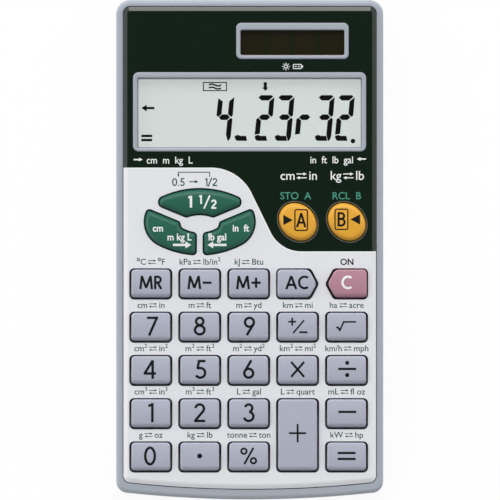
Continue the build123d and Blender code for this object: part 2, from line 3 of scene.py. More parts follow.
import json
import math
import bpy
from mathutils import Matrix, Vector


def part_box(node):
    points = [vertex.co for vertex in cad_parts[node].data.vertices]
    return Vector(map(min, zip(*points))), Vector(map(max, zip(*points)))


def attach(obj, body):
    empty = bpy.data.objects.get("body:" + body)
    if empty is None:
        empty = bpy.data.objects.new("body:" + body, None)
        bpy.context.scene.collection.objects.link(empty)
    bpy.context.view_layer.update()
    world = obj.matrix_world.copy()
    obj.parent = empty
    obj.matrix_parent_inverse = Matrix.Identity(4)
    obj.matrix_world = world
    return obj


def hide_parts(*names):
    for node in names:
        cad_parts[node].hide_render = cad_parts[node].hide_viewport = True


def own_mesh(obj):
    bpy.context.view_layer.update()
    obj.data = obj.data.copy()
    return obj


bl_info = {
    "name": "Pocket calculator",
    "version": (1, 1, 0),
    "blender": (4, 5, 0),
    "location": "3D View > Sidebar > Calculator",
    "description": "Dresses a calculator: finishes, crowned keys, printed legends and display figures",
    "category": "Add Mesh",
}

from collections import namedtuple
import bmesh
import bpy
from mathutils import Matrix, Vector
from mathutils.kdtree import KDTree

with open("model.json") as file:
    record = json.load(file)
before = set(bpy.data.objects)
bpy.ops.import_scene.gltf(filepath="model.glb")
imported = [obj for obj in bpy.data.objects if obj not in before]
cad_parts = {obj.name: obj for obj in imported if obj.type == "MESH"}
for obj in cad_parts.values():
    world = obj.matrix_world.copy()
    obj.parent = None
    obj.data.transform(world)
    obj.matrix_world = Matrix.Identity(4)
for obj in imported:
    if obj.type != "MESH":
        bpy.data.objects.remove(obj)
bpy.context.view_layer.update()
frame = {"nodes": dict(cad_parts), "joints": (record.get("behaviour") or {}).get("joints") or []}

MM = 0.001


def linear(code):
    """An sRGB hex colour as linear red, green and blue."""
    shares = [int(code[i : i + 2], 16) / 255 for i in (0, 2, 4)]
    return [s / 12.92 if s <= 0.04045 else ((s + 0.055) / 1.055) ** 2.4 for s in shares]


def corners_mm(node):
    """A node's lowest and highest corner at rest, in millimetres."""
    low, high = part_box(node)
    return low / MM, high / MM


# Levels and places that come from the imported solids, in millimetres
PLATE_LOW, PLATE_HIGH = corners_mm("face_plate")
PLATE_TOP = PLATE_HIGH.z
GLASS_TOP = corners_mm("display_glass")[1].z
CELL_LOW, CELL_HIGH = corners_mm("solar_cell")

# The photograph's frame: 500 by 500 pixels, looking straight down on the plate
IMAGE_SIDE = 500.0
PIXEL = 0.262
MIDDLE_COLUMN = 249.75
TOP_ROW_Y = 65.42


def column_x(column):
    """The X of a column of the photograph, in millimetres."""
    return PIXEL * (column - MIDDLE_COLUMN)


def row_y(row):
    """The Y of a row of the photograph on the plate, in millimetres."""
    return TOP_ROW_Y - PIXEL * row


def place(column, row):
    """A point of the photograph as X and Y on the plate, in millimetres."""
    return column_x(column), row_y(row)


def distance(name, about, default):
    """A length in millimetres that a user may change."""
    return bpy.props.FloatProperty(name=name, description=about, default=default, min=0.0, precision=3)


def colour(name, about, code):
    """A colour that a user may change."""
    return bpy.props.FloatVectorProperty(
        name=name, description=about, default=linear(code), subtype="COLOR", size=3, min=0.0, max=1.0
    )


class CalculatorSizes(bpy.types.PropertyGroup):
    """Sizes of the crowned keys and of the print, in millimetres"""

    key_edge: distance("Key edge", "Rounding of a crowned key's side and far edges", 0.42)
    key_roll: distance("Key near roll", "Radius of a crowned key's near edge", 1.24)
    key_roll_reach: distance("Key roll reach", "How far that roll reaches in over the key", 1.22)
    key_roll_depth: distance("Key roll depth", "How deep that roll would go where it ends upright", 1.9)
    key_crown: distance("Key crown", "How far a crowned key's middle stands over its ends", 0.36)
    key_corner: distance("Key corner", "Radius of a crowned key's corners, seen from above", 0.95)
    ink: distance("Ink", "Thickness of the printed ink", 0.02)
    digit: distance("Digit height", "Height of the digits on the keys", 5.0)
    digit_stroke: distance("Digit stroke", "Width of the strokes of the digits on the keys", 0.66)
    letter: distance("Letter height", "Height of the letters on the top row of crowned keys", 3.5)
    letter_stroke: distance("Letter stroke", "Width of the strokes of those letters", 0.6)
    unit: distance("Unit height", "Height of the capitals in the unit labels", 1.65)
    figure_slant: distance("Figure slant", "Lean of the display figures, as a share of their height", 0.097)


class CalculatorColours(bpy.types.PropertyGroup):
    """Colours of the mouldings and inks"""

    case: colour("Case", "Silver grey lacquer of the rim and back", "AFB5BE")
    plate: colour("Plate", "Pale silver lacquer of the face plate", "F1F2F5")
    panel: colour("Panel", "Dark green lacquer of the display panel", "071D10")
    # Painted shade: a darker colour on the walls of the plate's holes stands for the shade in the gaps round
    # the keys
    hole_wall_shade: colour("Bare wall", "Unsprayed moulding in the walls of the plate's holes", "A8ACB2")
    grey_key: colour("Grey keys", "Moulded colour of the square keys", "B7BAC9")
    green_key: colour("Green keys", "Moulded colour of the three curved keys", "2D6855")
    orange_key: colour("Orange keys", "Moulded colour of the two round keys", "F2B13B")
    pink_key: colour("Pink key", "Moulded colour of the clearing key", "BE8B9A")
    black_ink: colour("Black ink", "Legends on grey and orange keys", "0E1214")
    white_ink: colour("White ink", "Print on the dark panel and the green keys", "FAFCFB")
    green_ink: colour("Green ink", "Unit labels on the plate", "164E30")
    # Painted highlight: a pale line round the two leaning holes stands for the light their edges catch
    hole_rim_highlight: colour("Hole edge", "Edge of the lacquer round the two leaning holes", "7A8078")
    teal_ink: colour("Teal ink", "Labels over the round keys", "4C9A82")
    glass: colour("Display glass", "Reflector behind the display figures", "919694")
    figures: colour("Display figures", "Dark liquid-crystal figures", "040506")
    cell: colour("Solar cell", "Brown silicon film", "24200F")
    cell_gap: colour("Cell gap", "Green glass between two films", "0C2413")
    cell_edge: colour("Cell edge", "Reddish end of the films", "5A3020")


# Steps that the making of several meshes shares, in millimetres
def whole(bm):
    """All of a mesh, as the cutting operator takes it."""
    return bm.verts[:] + bm.edges[:] + bm.faces[:]


def cut_across(bm, at, axis):
    """Cuts all of a mesh by an upright plane across X (0) or Y (1)."""
    across = Vector((1, 0, 0)) if axis == 0 else Vector((0, 1, 0))
    bmesh.ops.bisect_plane(bm, geom=whole(bm), plane_co=across * at, plane_no=across)


def cut_level(bm, height, **cleared):
    """Cuts all of a mesh by a level plane, and gives the edges along the cut."""
    plane = {"plane_co": (0, 0, height), "plane_no": (0, 0, 1)}
    cut = bmesh.ops.bisect_plane(bm, geom=whole(bm), **plane, **cleared)["geom_cut"]
    return [edge for edge in cut if isinstance(edge, bmesh.types.BMEdge)]


def draw_up(bm, faces, rise):
    """Draws flat faces up into a solid."""
    drawn = bmesh.ops.extrude_face_region(bm, geom=faces)["geom"]
    upper = [v for v in drawn if isinstance(v, bmesh.types.BMVert)]
    bmesh.ops.translate(bm, verts=upper, vec=(0, 0, rise))


def packed_mesh(node):
    """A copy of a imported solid's mesh, with its points merged."""
    bm = bmesh.new()
    bm.from_mesh(frame["nodes"][node].data)
    bm.transform(Matrix.Scale(1 / MM, 4))
    bmesh.ops.remove_doubles(bm, verts=bm.verts[:], dist=0.001)
    return bm


# Strokes, shapes and letters of the print
def arc(x, y, radius_x, radius_y, start, end):
    """Points along an oval's edge, by degrees anticlockwise from its right end."""
    steps = max(4, round(abs(end - start) / 10))
    angles = [math.radians(start + (end - start) * n / steps) for n in range(steps + 1)]
    return [(x + radius_x * math.cos(a), y + radius_y * math.sin(a)) for a in angles]


def ring(x, y, radius_x, radius_y):
    return arc(x, y, radius_x, radius_y, 90, 450)


def rounded_box(x0, y0, x1, y1, radius):
    """A closed line round a box with round corners."""
    corners = [(x1, y1, 0), (x0, y1, 90), (x0, y0, 180), (x1, y0, 270)]
    points = []
    for x, y, start in corners:
        in_x = x - radius if x == x1 else x + radius
        in_y = y - radius if y == y1 else y + radius
        points += arc(in_x, in_y, radius, radius, start, start + 90)
    return points + [points[0]]


# Centre lines of each legend, in shares of its height, with its width share first
GLYPHS = {
    "0": (0.63, [ring(0.315, 0.5, 0.25, 0.434)]),
    "1": (0.30, [[(0.02, 0.85), (0.22, 0.925)], [(0.235, 1.0), (0.235, 0.0)]]),
    "2": (0.62, [arc(0.31, 0.71, 0.222, 0.222, 172, -40) + [(0.06, 0.07)], [(0.02, 0.066), (0.60, 0.066)]]),
    "3": (0.60, [arc(0.30, 0.745, 0.187, 0.187, 165, -80), arc(0.30, 0.305, 0.245, 0.237, 85, -165)]),
    "4": (0.64, [[(0.47, 0.0), (0.47, 0.98)], [(0.46, 0.95), (0.06, 0.30)], [(0.0, 0.285), (0.64, 0.285)]]),
    "5": (0.62, [
        [(0.19, 0.934), (0.57, 0.934)],
        [(0.235, 0.98), (0.155, 0.52)],
        arc(0.30, 0.32, 0.253, 0.253, 126, -150),
    ]),
    "6": (0.60, [ring(0.30, 0.30, 0.232, 0.232), [(0.093, 0.40), (0.44, 0.98)]]),
    "7": (0.60, [[(0.02, 0.934), (0.60, 0.934)], [(0.55, 0.96), (0.13, 0.0)]]),
    "8": (0.635, [ring(0.3175, 0.745, 0.19, 0.188), ring(0.3175, 0.297, 0.25, 0.23)]),
    "9": (0.60, [ring(0.30, 0.70, 0.232, 0.232), [(0.507, 0.60), (0.16, 0.02)]]),
    "M": (1.02, [
        [(0.08, 0.0), (0.19, 1.0)],
        [(0.19, 0.96), (0.51, 0.1)],
        [(0.51, 0.1), (0.83, 0.96)],
        [(0.83, 1.0), (0.94, 0.0)],
    ]),
    "R": (0.60, [
        [(0.08, 0.0), (0.08, 1.0)],
        [(0.08, 0.925), (0.27, 0.925)] + arc(0.27, 0.71, 0.215, 0.215, 90, -90) + [(0.08, 0.495)],
        [(0.27, 0.48), (0.53, 0.0)],
    ]),
    "A": (0.84, [[(0.05, 0.0), (0.42, 0.98)], [(0.42, 0.98), (0.79, 0.0)], [(0.19, 0.32), (0.65, 0.32)]]),
    "narrow A": (0.68, [
        [(0.05, 0.0), (0.34, 0.98)],
        [(0.34, 0.98), (0.63, 0.0)],
        [(0.15, 0.32), (0.53, 0.32)],
    ]),
    "B": (0.56, [
        [(0.08, 0.0), (0.08, 1.0)],
        [(0.08, 0.93), (0.27, 0.93)] + arc(0.27, 0.73, 0.19, 0.2, 90, -90) + [(0.08, 0.53)],
        [(0.08, 0.52), (0.27, 0.52)] + arc(0.27, 0.295, 0.225, 0.225, 90, -90) + [(0.08, 0.07)],
    ]),
    "C": (0.82, [arc(0.49, 0.5, 0.41, 0.43, 52, 308)]),
    "-": (0.72, [[(0.03, 0.48), (0.69, 0.48)]]),
    "+": (0.76, [[(0.03, 0.48), (0.73, 0.48)], [(0.38, 0.10), (0.38, 0.86)]]),
    ".": (0.2, [[(0.1, 0.0), (0.1, 0.13)]]),
    "/": (0.5, [[(0.02, -0.06), (0.48, 1.06)]]),
}

# The built-in typeface's capitals, as a share of its size
CAP_SHARE = 0.729
# Spacing of the cuts that let print follow a crown, and the share of the ink below the surface
DRAPE_STEP = 0.3
SUNK_SHARE = 0.25
# Raised figures of a power and the degree sign, as shares of the capitals' height
POWER_MARKS = {"²": "2", "³": "3"}
POWER_SHARE = 0.66
POWER_RISE_SHARE = 0.55
DEGREE_SHARE = 0.19
SPACE_SHARE = 0.16

# Small lettering: the height of its capitals, how far it is squeezed along X, and how much bolder it is drawn
Lettering = namedtuple("Lettering", "cap squeeze weight")
# An arrow: the width of its line, and the length and half width of its head
Arrow = namedtuple("Arrow", "width head half_head")


class Ink:
    """One printed legend: strokes, shapes and letters drawn flat, in millimetres, then laid on a surface."""

    def __init__(self, thickness):
        self.thickness = thickness
        self.bm = bmesh.new()

    def take(self, curve, x=0.0, y=0.0, z=0.0, squeeze=1.0):
        """Takes a curve or text in as a mesh, squeezed along X and moved."""
        holder = bpy.data.objects.new("holder", curve)
        bpy.context.scene.collection.objects.link(holder)
        bpy.context.view_layer.update()
        graph = bpy.context.evaluated_depsgraph_get()
        mesh = bpy.data.meshes.new_from_object(holder.evaluated_get(graph))
        bpy.data.objects.remove(holder)
        bpy.data.curves.remove(curve)
        mesh.transform(Matrix.Translation((x, y, z)) @ Matrix.Diagonal((squeeze, 1, 1, 1)))
        self.bm.from_mesh(mesh)
        reach = max(v.co.x for v in mesh.vertices)
        bpy.data.meshes.remove(mesh)
        return reach

    def strokes(self, lines, width):
        """Flat bands of one width along several lines of points."""
        profile = bpy.data.curves.new("band", "CURVE")
        profile.dimensions = "2D"
        edge = profile.splines.new("POLY")
        edge.points.add(3)
        half = width / 2
        corners = [(-half, 0), (half, 0), (half, self.thickness), (-half, self.thickness)]
        for point, (x, y) in zip(edge.points, corners):
            point.co = (x, y, 0, 1)
        edge.use_cyclic_u = True
        band = bpy.data.objects.new("band", profile)
        curve = bpy.data.curves.new("line", "CURVE")
        curve.dimensions = "3D"
        curve.twist_mode = "Z_UP"
        curve.bevel_mode = "OBJECT"
        curve.bevel_object = band
        curve.use_fill_caps = True
        for line in lines:
            closed = math.dist(line[0], line[-1]) < self.thickness
            points = line[:-1] if closed else line
            spline = curve.splines.new("POLY")
            spline.points.add(len(points) - 1)
            for point, (x, y) in zip(spline.points, points):
                point.co = (x, y, 0, 1)
            spline.use_cyclic_u = closed
        self.take(curve)
        bpy.data.objects.remove(band)
        bpy.data.curves.remove(profile)

    def shape(self, points):
        """A filled outline."""
        face = self.bm.faces.new([self.bm.verts.new((x, y, 0)) for x, y in points])
        draw_up(self.bm, [face], self.thickness)

    def disc(self, x, y, radius):
        self.shape(ring(x, y, radius, radius)[:-1])

    def glyphs(self, text, x, y, height, width):
        """Legend strokes centred on x and y, with half a stroke between signs."""
        total = sum(GLYPHS[sign][0] * height for sign in text) + width * (len(text) - 1) / 2
        left = x - total / 2
        lines = []
        for sign in text:
            share, drawn = GLYPHS[sign]
            lines += [[(left + u * height, y + (v - 0.5) * height) for u, v in line] for line in drawn]
            left += share * height + width / 2
        self.strokes(lines, width)

    def word(self, text, x, y, style):
        """Lettering in the built-in typeface from x rightwards, its foot at y. Gives where it ends."""
        curve = bpy.data.curves.new("text", "FONT")
        curve.body = text
        curve.size = style.cap / CAP_SHARE
        curve.extrude = self.thickness / 2
        curve.offset = style.weight
        curve.resolution_u = 4
        return self.take(curve, x, y, self.thickness / 2, style.squeeze)

    def letters(self, text, x, y, style, anchor=0.5):
        """Small lettering with its powers raised. anchor is the share of its width left of x."""
        first = len(self.bm.verts)
        space = style.cap * SPACE_SHARE * style.squeeze
        end = 0.0
        run = ""
        for sign in text + "\n":
            if sign not in POWER_MARKS and sign not in "°\n":
                run += sign
                continue
            if run:
                end = self.word(run, end, y, style) + space / 2
                run = ""
            if sign in POWER_MARKS:
                rise = y + style.cap * POWER_RISE_SHARE
                small = style._replace(cap=style.cap * POWER_SHARE)
                end = self.word(POWER_MARKS[sign], end, rise, small) + space / 2
            if sign == "°":
                radius = style.cap * DEGREE_SHARE
                self.strokes([ring(end + 1.5 * radius, y + style.cap - radius, radius, radius)], radius * 0.7)
                end += 3 * radius
        end -= space / 2
        self.slide(first, x - end * anchor)
        return end

    def slide(self, first, shift):
        """Moves along X everything drawn since the mesh had that many vertices."""
        self.bm.verts.ensure_lookup_table()
        bmesh.ops.translate(self.bm, verts=self.bm.verts[first:], vec=(shift, 0, 0))

    def arrow(self, tail, tip, y, style):
        """A level arrow from one X to another."""
        turn = 1 if tip > tail else -1
        neck = tip - turn * style.head
        self.strokes([[(tail, y), (neck, y)]], style.width)
        self.shape([(neck, y - style.half_head), (tip, y), (neck, y + style.half_head)][::turn])

    def lay(self, name, body, finish, slot, surface):
        """Lays the print on a surface: a key's crown, or one height everywhere."""
        bmesh.ops.remove_doubles(self.bm, verts=self.bm.verts[:], dist=self.thickness / 100)
        crowned = isinstance(surface, Crown)
        if crowned:
            surface.cut(self.bm, DRAPE_STEP)
        for v in self.bm.verts:
            rise = surface.level(v.co.x, v.co.y) if crowned else surface
            v.co.z += rise - self.thickness * SUNK_SHARE
        return new_piece(self.bm, name, body, finish)


SMOOTH_LIMIT = math.radians(35.0)


def new_piece(bm, name, body, finish, replaced=()):
    """Makes a finished piece from a mesh in millimetres, riding on a body."""
    bmesh.ops.recalc_face_normals(bm, faces=bm.faces[:])
    for face in bm.faces:
        face.smooth = True
    for edge in bm.edges:
        edge.smooth = edge.calc_face_angle(0.0) < SMOOTH_LIMIT
    bm.transform(Matrix.Scale(MM, 4))
    mesh = bpy.data.meshes.new(name)
    bm.to_mesh(mesh)
    bm.free()
    mesh.materials.append(finish)
    piece = bpy.data.objects.new(name, mesh)
    bpy.context.scene.collection.objects.link(piece)
    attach(piece, body)
    if replaced:
        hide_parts(*replaced)
    return piece


# Materials
def add(tree, kind, inputs=None, **settings):
    """Adds one node with its settings. An input is a value, or a socket or a node's first output to link."""
    node = tree.nodes.new("ShaderNode" + kind)
    for key, value in settings.items():
        setattr(node, key, value)
    for key, value in (inputs or {}).items():
        if isinstance(value, bpy.types.Node):
            value = value.outputs[0]
        if isinstance(value, bpy.types.NodeSocket):
            tree.links.new(value, node.inputs[key])
        else:
            node.inputs[key].default_value = value
    return node


def new_material(name):
    """An empty material, its tree, and a texture coordinate node's Object socket."""
    material = bpy.data.materials.new(name)
    material.use_nodes = True
    tree = material.node_tree
    tree.nodes.clear()
    return material, tree, add(tree, "TexCoord").outputs["Object"]


def paint(shade, share=1.0):
    """Red, green and blue with full alpha, lighter or darker by a share."""
    return (*(min(1.0, c * share) for c in shade), 1.0)


# Sockets of a Mix node that mixes colours, and what it gives
FIRST, SECOND, MIXED = 6, 7, 2


def mottled(tree, where, shade, grain, depth):
    """A colour that varies a little over grains of a real size, and the noise it varies by."""
    cloud = {"Vector": where, "Scale": 1 / (grain * MM), "Detail": 3.0, "Roughness": 0.6}
    noise = add(tree, "TexNoise", cloud)
    ends = {FIRST: paint(shade, 1 - depth), SECOND: paint(shade, 1 + depth)}
    return add(tree, "Mix", {"Factor": noise, **ends}, data_type="RGBA").outputs[MIXED], noise


def layered(tree, tint, layers):
    """A colour under several layers, each given as its share of the surface and its colour."""
    for share, layer in layers:
        mix = add(tree, "Mix", {"Factor": share, FIRST: tint, SECOND: layer}, data_type="RGBA")
        tint = mix.outputs[MIXED]
    return tint


def moulded(name, shade, grain=0.25, depth=0.03, relief=0.004, rough=0.42, spread=0.08, **sockets):
    """A moulded or sprayed skin: a faint mottle, a fine relief and varied roughness. Sizes in millimetres."""
    material, tree, where = new_material(name)
    tint, noise = mottled(tree, where, shade, grain, depth)
    fine = add(tree, "TexNoise", {"Vector": where, "Scale": 1 / (grain * MM), "Detail": 2.0})
    bump = add(tree, "Bump", {"Height": fine, "Strength": 0.35, "Distance": relief * MM})
    worn = add(tree, "MapRange", {"Value": noise, "To Min": rough - spread, "To Max": rough + spread})
    constants = {socket.replace("_", " "): value for socket, value in sockets.items()}
    skin = {"Base Color": tint, "Roughness": worn, "Normal": bump, **constants}
    add(tree, "OutputMaterial", {"Surface": add(tree, "BsdfPrincipled", skin)})
    return material


def metal(name, shade, grain=0.05, rough=0.3):
    """Bare sheet or turned metal with a drawn grain along X. Sizes in millimetres."""
    material, tree, where = new_material(name)
    drawn = add(tree, "Mapping", {"Vector": where, "Scale": (0.08, 1.0, 1.0)})
    noise = add(tree, "TexNoise", {"Vector": drawn, "Scale": 1 / (grain * MM), "Detail": 2.0})
    worn = add(tree, "MapRange", {"Value": noise, "To Min": rough - 0.08, "To Max": rough + 0.1})
    tint, _ = mottled(tree, where, shade, 1.5, 0.04)
    skin = {"Base Color": tint, "Roughness": worn, "Metallic": 1.0}
    add(tree, "OutputMaterial", {"Surface": add(tree, "BsdfPrincipled", skin)})
    return material


# The printed boundary of the dark panel: level, round, slanting, round the other way and level again
PANEL_LEVEL = 21.5
PANEL_FOOT = -0.45
PANEL_TURN_X = -10.15
PANEL_TURN_RADIUS = 11.8
PANEL_FOOT_RADIUS = 8.9
PANEL_TURN_ANGLE = 64.0
# A painted highlight along that boundary on the silver side, standing for the lit edge of a step, and the
# share of it that fades in
PANEL_HIGHLIGHT = 0.42
PANEL_HIGHLIGHT_FADE = 0.35
# Faces that look up less than this are the holes' walls, which take painted shade
WALL_FACING = 0.3


def panel_boundary(tree, at):
    """Millimetres from the dark panel's edge, above zero inside it. at is X and Y in millimetres."""
    angle = math.radians(90 - PANEL_TURN_ANGLE)
    normal = Vector((math.cos(angle), math.sin(angle), 0))
    along = Vector((-normal.y, normal.x, 0))
    turn = Vector((PANEL_TURN_X, PANEL_LEVEL - PANEL_TURN_RADIUS, 0))
    start = turn + normal * PANEL_TURN_RADIUS
    foot_y = PANEL_FOOT + PANEL_FOOT_RADIUS
    end_y = foot_y - PANEL_FOOT_RADIUS * normal.y
    end = start - along * ((start.y - end_y) / along.y)
    foot = Vector((end.x + PANEL_FOOT_RADIUS * normal.x, foot_y, 0))
    across = add(tree, "VectorMath", {0: at, 1: normal}, operation="DOT_PRODUCT").outputs["Value"]
    slant = add(tree, "Math", {0: across, 1: normal.dot(start)}, operation="SUBTRACT")
    y = add(tree, "SeparateXYZ", {"Vector": at}).outputs["Y"]
    over_level = add(tree, "Math", {0: y, 1: PANEL_LEVEL}, operation="SUBTRACT")
    over_foot = add(tree, "Math", {0: y, 1: PANEL_FOOT}, operation="SUBTRACT")
    upper = round_corner(tree, at, turn, PANEL_TURN_RADIUS, along, 1, slant, over_level)
    lower = round_corner(tree, at, foot, PANEL_FOOT_RADIUS, along, -1, slant, over_foot)
    above = add(tree, "Math", {0: y, 1: (start.y + end_y) / 2}, operation="GREATER_THAN")
    return add(tree, "Mix", {"Factor": above, "A": lower, "B": upper}, data_type="FLOAT")


def round_corner(tree, at, centre, radius, along, side, slant, level):
    """The distance from two edges that meet in a round corner. side is 1 where the corner points outwards."""
    reach = add(tree, "VectorMath", {0: at, 1: centre}, operation="DISTANCE").outputs["Value"]
    bend = add(tree, "Math", {0: reach, 1: side, 2: -radius * side}, operation="MULTIPLY_ADD")
    past = []
    for way in (along * side, Vector((side, 0, 0))):
        reach = add(tree, "VectorMath", {0: at, 1: way}, operation="DOT_PRODUCT").outputs["Value"]
        past.append(add(tree, "Math", {0: reach, 1: way.dot(centre)}, operation="GREATER_THAN"))
    in_corner = add(tree, "Math", {0: past[0], 1: past[1]}, operation="MULTIPLY")
    edges = add(tree, "Math", {0: slant, 1: level}, operation="MAXIMUM" if side > 0 else "MINIMUM")
    return add(tree, "Mix", {"Factor": in_corner, "A": edges, "B": bend}, data_type="FLOAT")


def two_tone_lacquer(colours):
    """Lacquer sprayed on ABS: pale silver with fine flakes and a glossy dark panel; painted highlight at its
    edge, painted shade on hole walls.
    """
    material, tree, where = new_material("sprayed_two_tone_lacquer")
    silver, flakes = mottled(tree, where, colours.plate, 0.3, 0.018)
    dark, _ = mottled(tree, where, colours.panel, 1.2, 0.12)
    at = add(tree, "VectorMath", {0: where, 1: (1 / MM, 1 / MM, 0)}, operation="MULTIPLY")
    gap = panel_boundary(tree, at)
    in_panel = add(tree, "Math", {0: gap, 1: 0.0}, operation="GREATER_THAN")
    # Painted highlight: the silver is lighter in a thin band along the panel's edge
    fade = {"Value": gap, "From Min": -PANEL_HIGHLIGHT, "From Max": -PANEL_HIGHLIGHT * PANEL_HIGHLIGHT_FADE}
    near = add(tree, "MapRange", fade)
    facing = add(tree, "SeparateXYZ", {"Vector": add(tree, "NewGeometry").outputs["Normal"]}).outputs["Z"]
    # Painted shade: walls that look sideways take the darker hole wall colour
    wall = add(tree, "Math", {0: facing, 1: WALL_FACING}, operation="LESS_THAN")
    layers = [(near, paint(colours.plate, 1.25)), (in_panel, dark), (wall, paint(colours.hole_wall_shade))]
    rough = add(tree, "MapRange", {"Value": in_panel, "To Min": 0.45, "To Max": 0.2})
    grit = add(tree, "Math", {0: flakes, 1: 0.06, 2: rough}, operation="MULTIPLY_ADD")
    peel = add(tree, "TexNoise", {"Vector": where, "Scale": 1 / (0.9 * MM), "Detail": 1.0})
    bump = add(tree, "Bump", {"Height": peel, "Strength": 0.12, "Distance": 0.004 * MM})
    skin = {"Base Color": layered(tree, silver, layers), "Roughness": grit, "Normal": bump}
    shader = add(tree, "BsdfPrincipled", {**skin, "Specular IOR Level": 0.6})
    add(tree, "OutputMaterial", {"Surface": shader})
    return material


def ink_finish(name, shade):
    """Silk-screen ink: a flat tone that breaks up very slightly, with a satin skin."""
    skin = {"grain": 0.2, "depth": 0.05, "relief": 0.001, "rough": 0.5, "spread": 0.05}
    return moulded(name, shade, **skin, Specular_IOR_Level=0.25)


def dress(node, material):
    """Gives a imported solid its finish."""
    for slot in frame["nodes"][node].material_slots:
        slot.material = material


class CalculatorOperator:
    """What every step here shares"""

    bl_options = {"REGISTER", "UNDO"}

    @property
    def sizes(self):
        return bpy.context.scene.calculator_sizes

    @property
    def colours(self):
        return bpy.context.scene.calculator_colours


class CALCULATOR_OT_camera(CalculatorOperator, bpy.types.Operator):
    """Sets a very long lens straight above the plate"""

    bl_idname = "calculator.camera"
    bl_label = "Camera"

    def execute(self, context):
        lens = 500.0
        sensor = 36.0
        rise = IMAGE_SIDE * PIXEL * lens / sensor
        middle = place(IMAGE_SIDE / 2, IMAGE_SIDE / 2)
        data = bpy.data.cameras.new("camera")
        data.lens = lens
        data.sensor_width = sensor
        camera = bpy.data.objects.new("camera", data)
        camera.location = Vector((middle[0], middle[1], PLATE_TOP + rise)) * MM
        context.scene.collection.objects.link(camera)
        context.scene.camera = camera
        return {"FINISHED"}


# Brightness of the surround, where 1 is white: overhead, its walls, what is added left and right,
# how much brighter it gets to the left and to the far side, and where the ceiling begins and is full
CEILING = 0.09
WALL = 0.62
SIDES = 1.0
PULL = (-0.2, 0.44, 0.0)
CEILING_STARTS, CEILING_FULL = 0.6, 0.95
# The softbox past the far end: its lean from overhead in degrees, its distance and side in metres, its power
BOX_LEAN = 46.0
BOX_DISTANCE = 2.5
BOX_SIDE = 1.35
BOX_POWER = 25.0
# The floor: half its side in metres, its depth under the back in millimetres, its glow and the share of that
FLOOR_REACH = 4.0
FLOOR_DEPTH = 0.05
FLOOR_GLOW = 1.03
GLOW_SHARE = 0.88


class CALCULATOR_OT_stage(CalculatorOperator, bpy.types.Operator):
    """Lays a pale floor under the calculator and lights it softly from its far end"""

    bl_idname = "calculator.stage"
    bl_label = "Floor and light"

    def execute(self, context):
        bm = bmesh.new()
        bmesh.ops.create_grid(bm, x_segments=1, y_segments=1, size=FLOOR_REACH)
        bmesh.ops.translate(bm, verts=bm.verts[:], vec=(0, 0, -FLOOR_DEPTH * MM))
        mesh = bpy.data.meshes.new("floor")
        bm.to_mesh(mesh)
        bm.free()
        floor = bpy.data.objects.new("floor", mesh)
        context.scene.collection.objects.link(floor)
        mesh.materials.append(self.floor_paper())
        self.world(context)
        self.softbox(context)
        context.scene.view_settings.view_transform = "Standard"
        return {"FINISHED"}

    def floor_paper(self):
        """White seamless paper: seen white, it still takes a soft shadow."""
        material, tree, where = new_material("white_paper")
        fibre, _ = mottled(tree, where, (0.9, 0.9, 0.9), 2.0, 0.01)
        card = add(tree, "BsdfDiffuse", {"Color": fibre})
        glow = add(tree, "Emission", {"Color": (1, 1, 1, 1), "Strength": FLOOR_GLOW})
        light = add(tree, "LightPath").outputs
        seen = light["Is Camera Ray"]
        for ray in ("Is Transmission Ray", "Is Glossy Ray"):
            seen = add(tree, "Math", {0: seen, 1: light[ray]}, operation="MAXIMUM")
        share = add(tree, "Math", {0: seen, 1: GLOW_SHARE}, operation="MULTIPLY")
        add(tree, "OutputMaterial", {"Surface": add(tree, "MixShader", {"Fac": share, 1: card, 2: glow})})
        return material

    def world(self, context):
        """A dark ceiling over pale walls, brightest at the left and right, that the camera sees as white."""
        world = bpy.data.worlds.new("studio")
        world.use_nodes = True
        tree = world.node_tree
        tree.nodes.clear()
        towards = add(tree, "TexCoord").outputs["Generated"]
        split = add(tree, "SeparateXYZ", {"Vector": towards}).outputs
        pull = add(tree, "VectorMath", {0: towards, 1: PULL}, operation="DOT_PRODUCT").outputs["Value"]
        walls = add(tree, "Math", {0: pull, 1: WALL}, operation="ADD")
        sideways = add(tree, "Math", {0: split["X"], 1: 2.0}, operation="POWER")
        walls = add(tree, "Math", {0: sideways, 1: SIDES, 2: walls}, operation="MULTIPLY_ADD")
        climb = {"Value": split["Z"], "From Min": CEILING_STARTS, "From Max": CEILING_FULL}
        height = add(tree, "MapRange", climb, interpolation_type="SMOOTHSTEP")
        level = add(tree, "Mix", {"Factor": height, "A": walls, "B": CEILING}, data_type="FLOAT")
        room = add(tree, "Background", {"Color": (0.975, 0.985, 1.0, 1.0), "Strength": level})
        white = add(tree, "Background", {"Color": (1, 1, 1, 1), "Strength": 1.0})
        seen = add(tree, "LightPath").outputs["Is Camera Ray"]
        add(tree, "OutputWorld", {"Surface": add(tree, "MixShader", {"Fac": seen, 1: room, 2: white})})
        context.scene.world = world

    def softbox(self, context):
        data = bpy.data.lights.new("far_softbox", "AREA")
        data.shape = "SQUARE"
        data.size = BOX_SIDE
        data.energy = BOX_POWER
        lamp = bpy.data.objects.new("far_softbox", data)
        lean = math.radians(BOX_LEAN)
        lamp.location = (0.0, BOX_DISTANCE * math.sin(lean), BOX_DISTANCE * math.cos(lean))
        lamp.rotation_euler = (-lamp.location).to_track_quat("-Z", "Y").to_euler()
        context.scene.collection.objects.link(lamp)


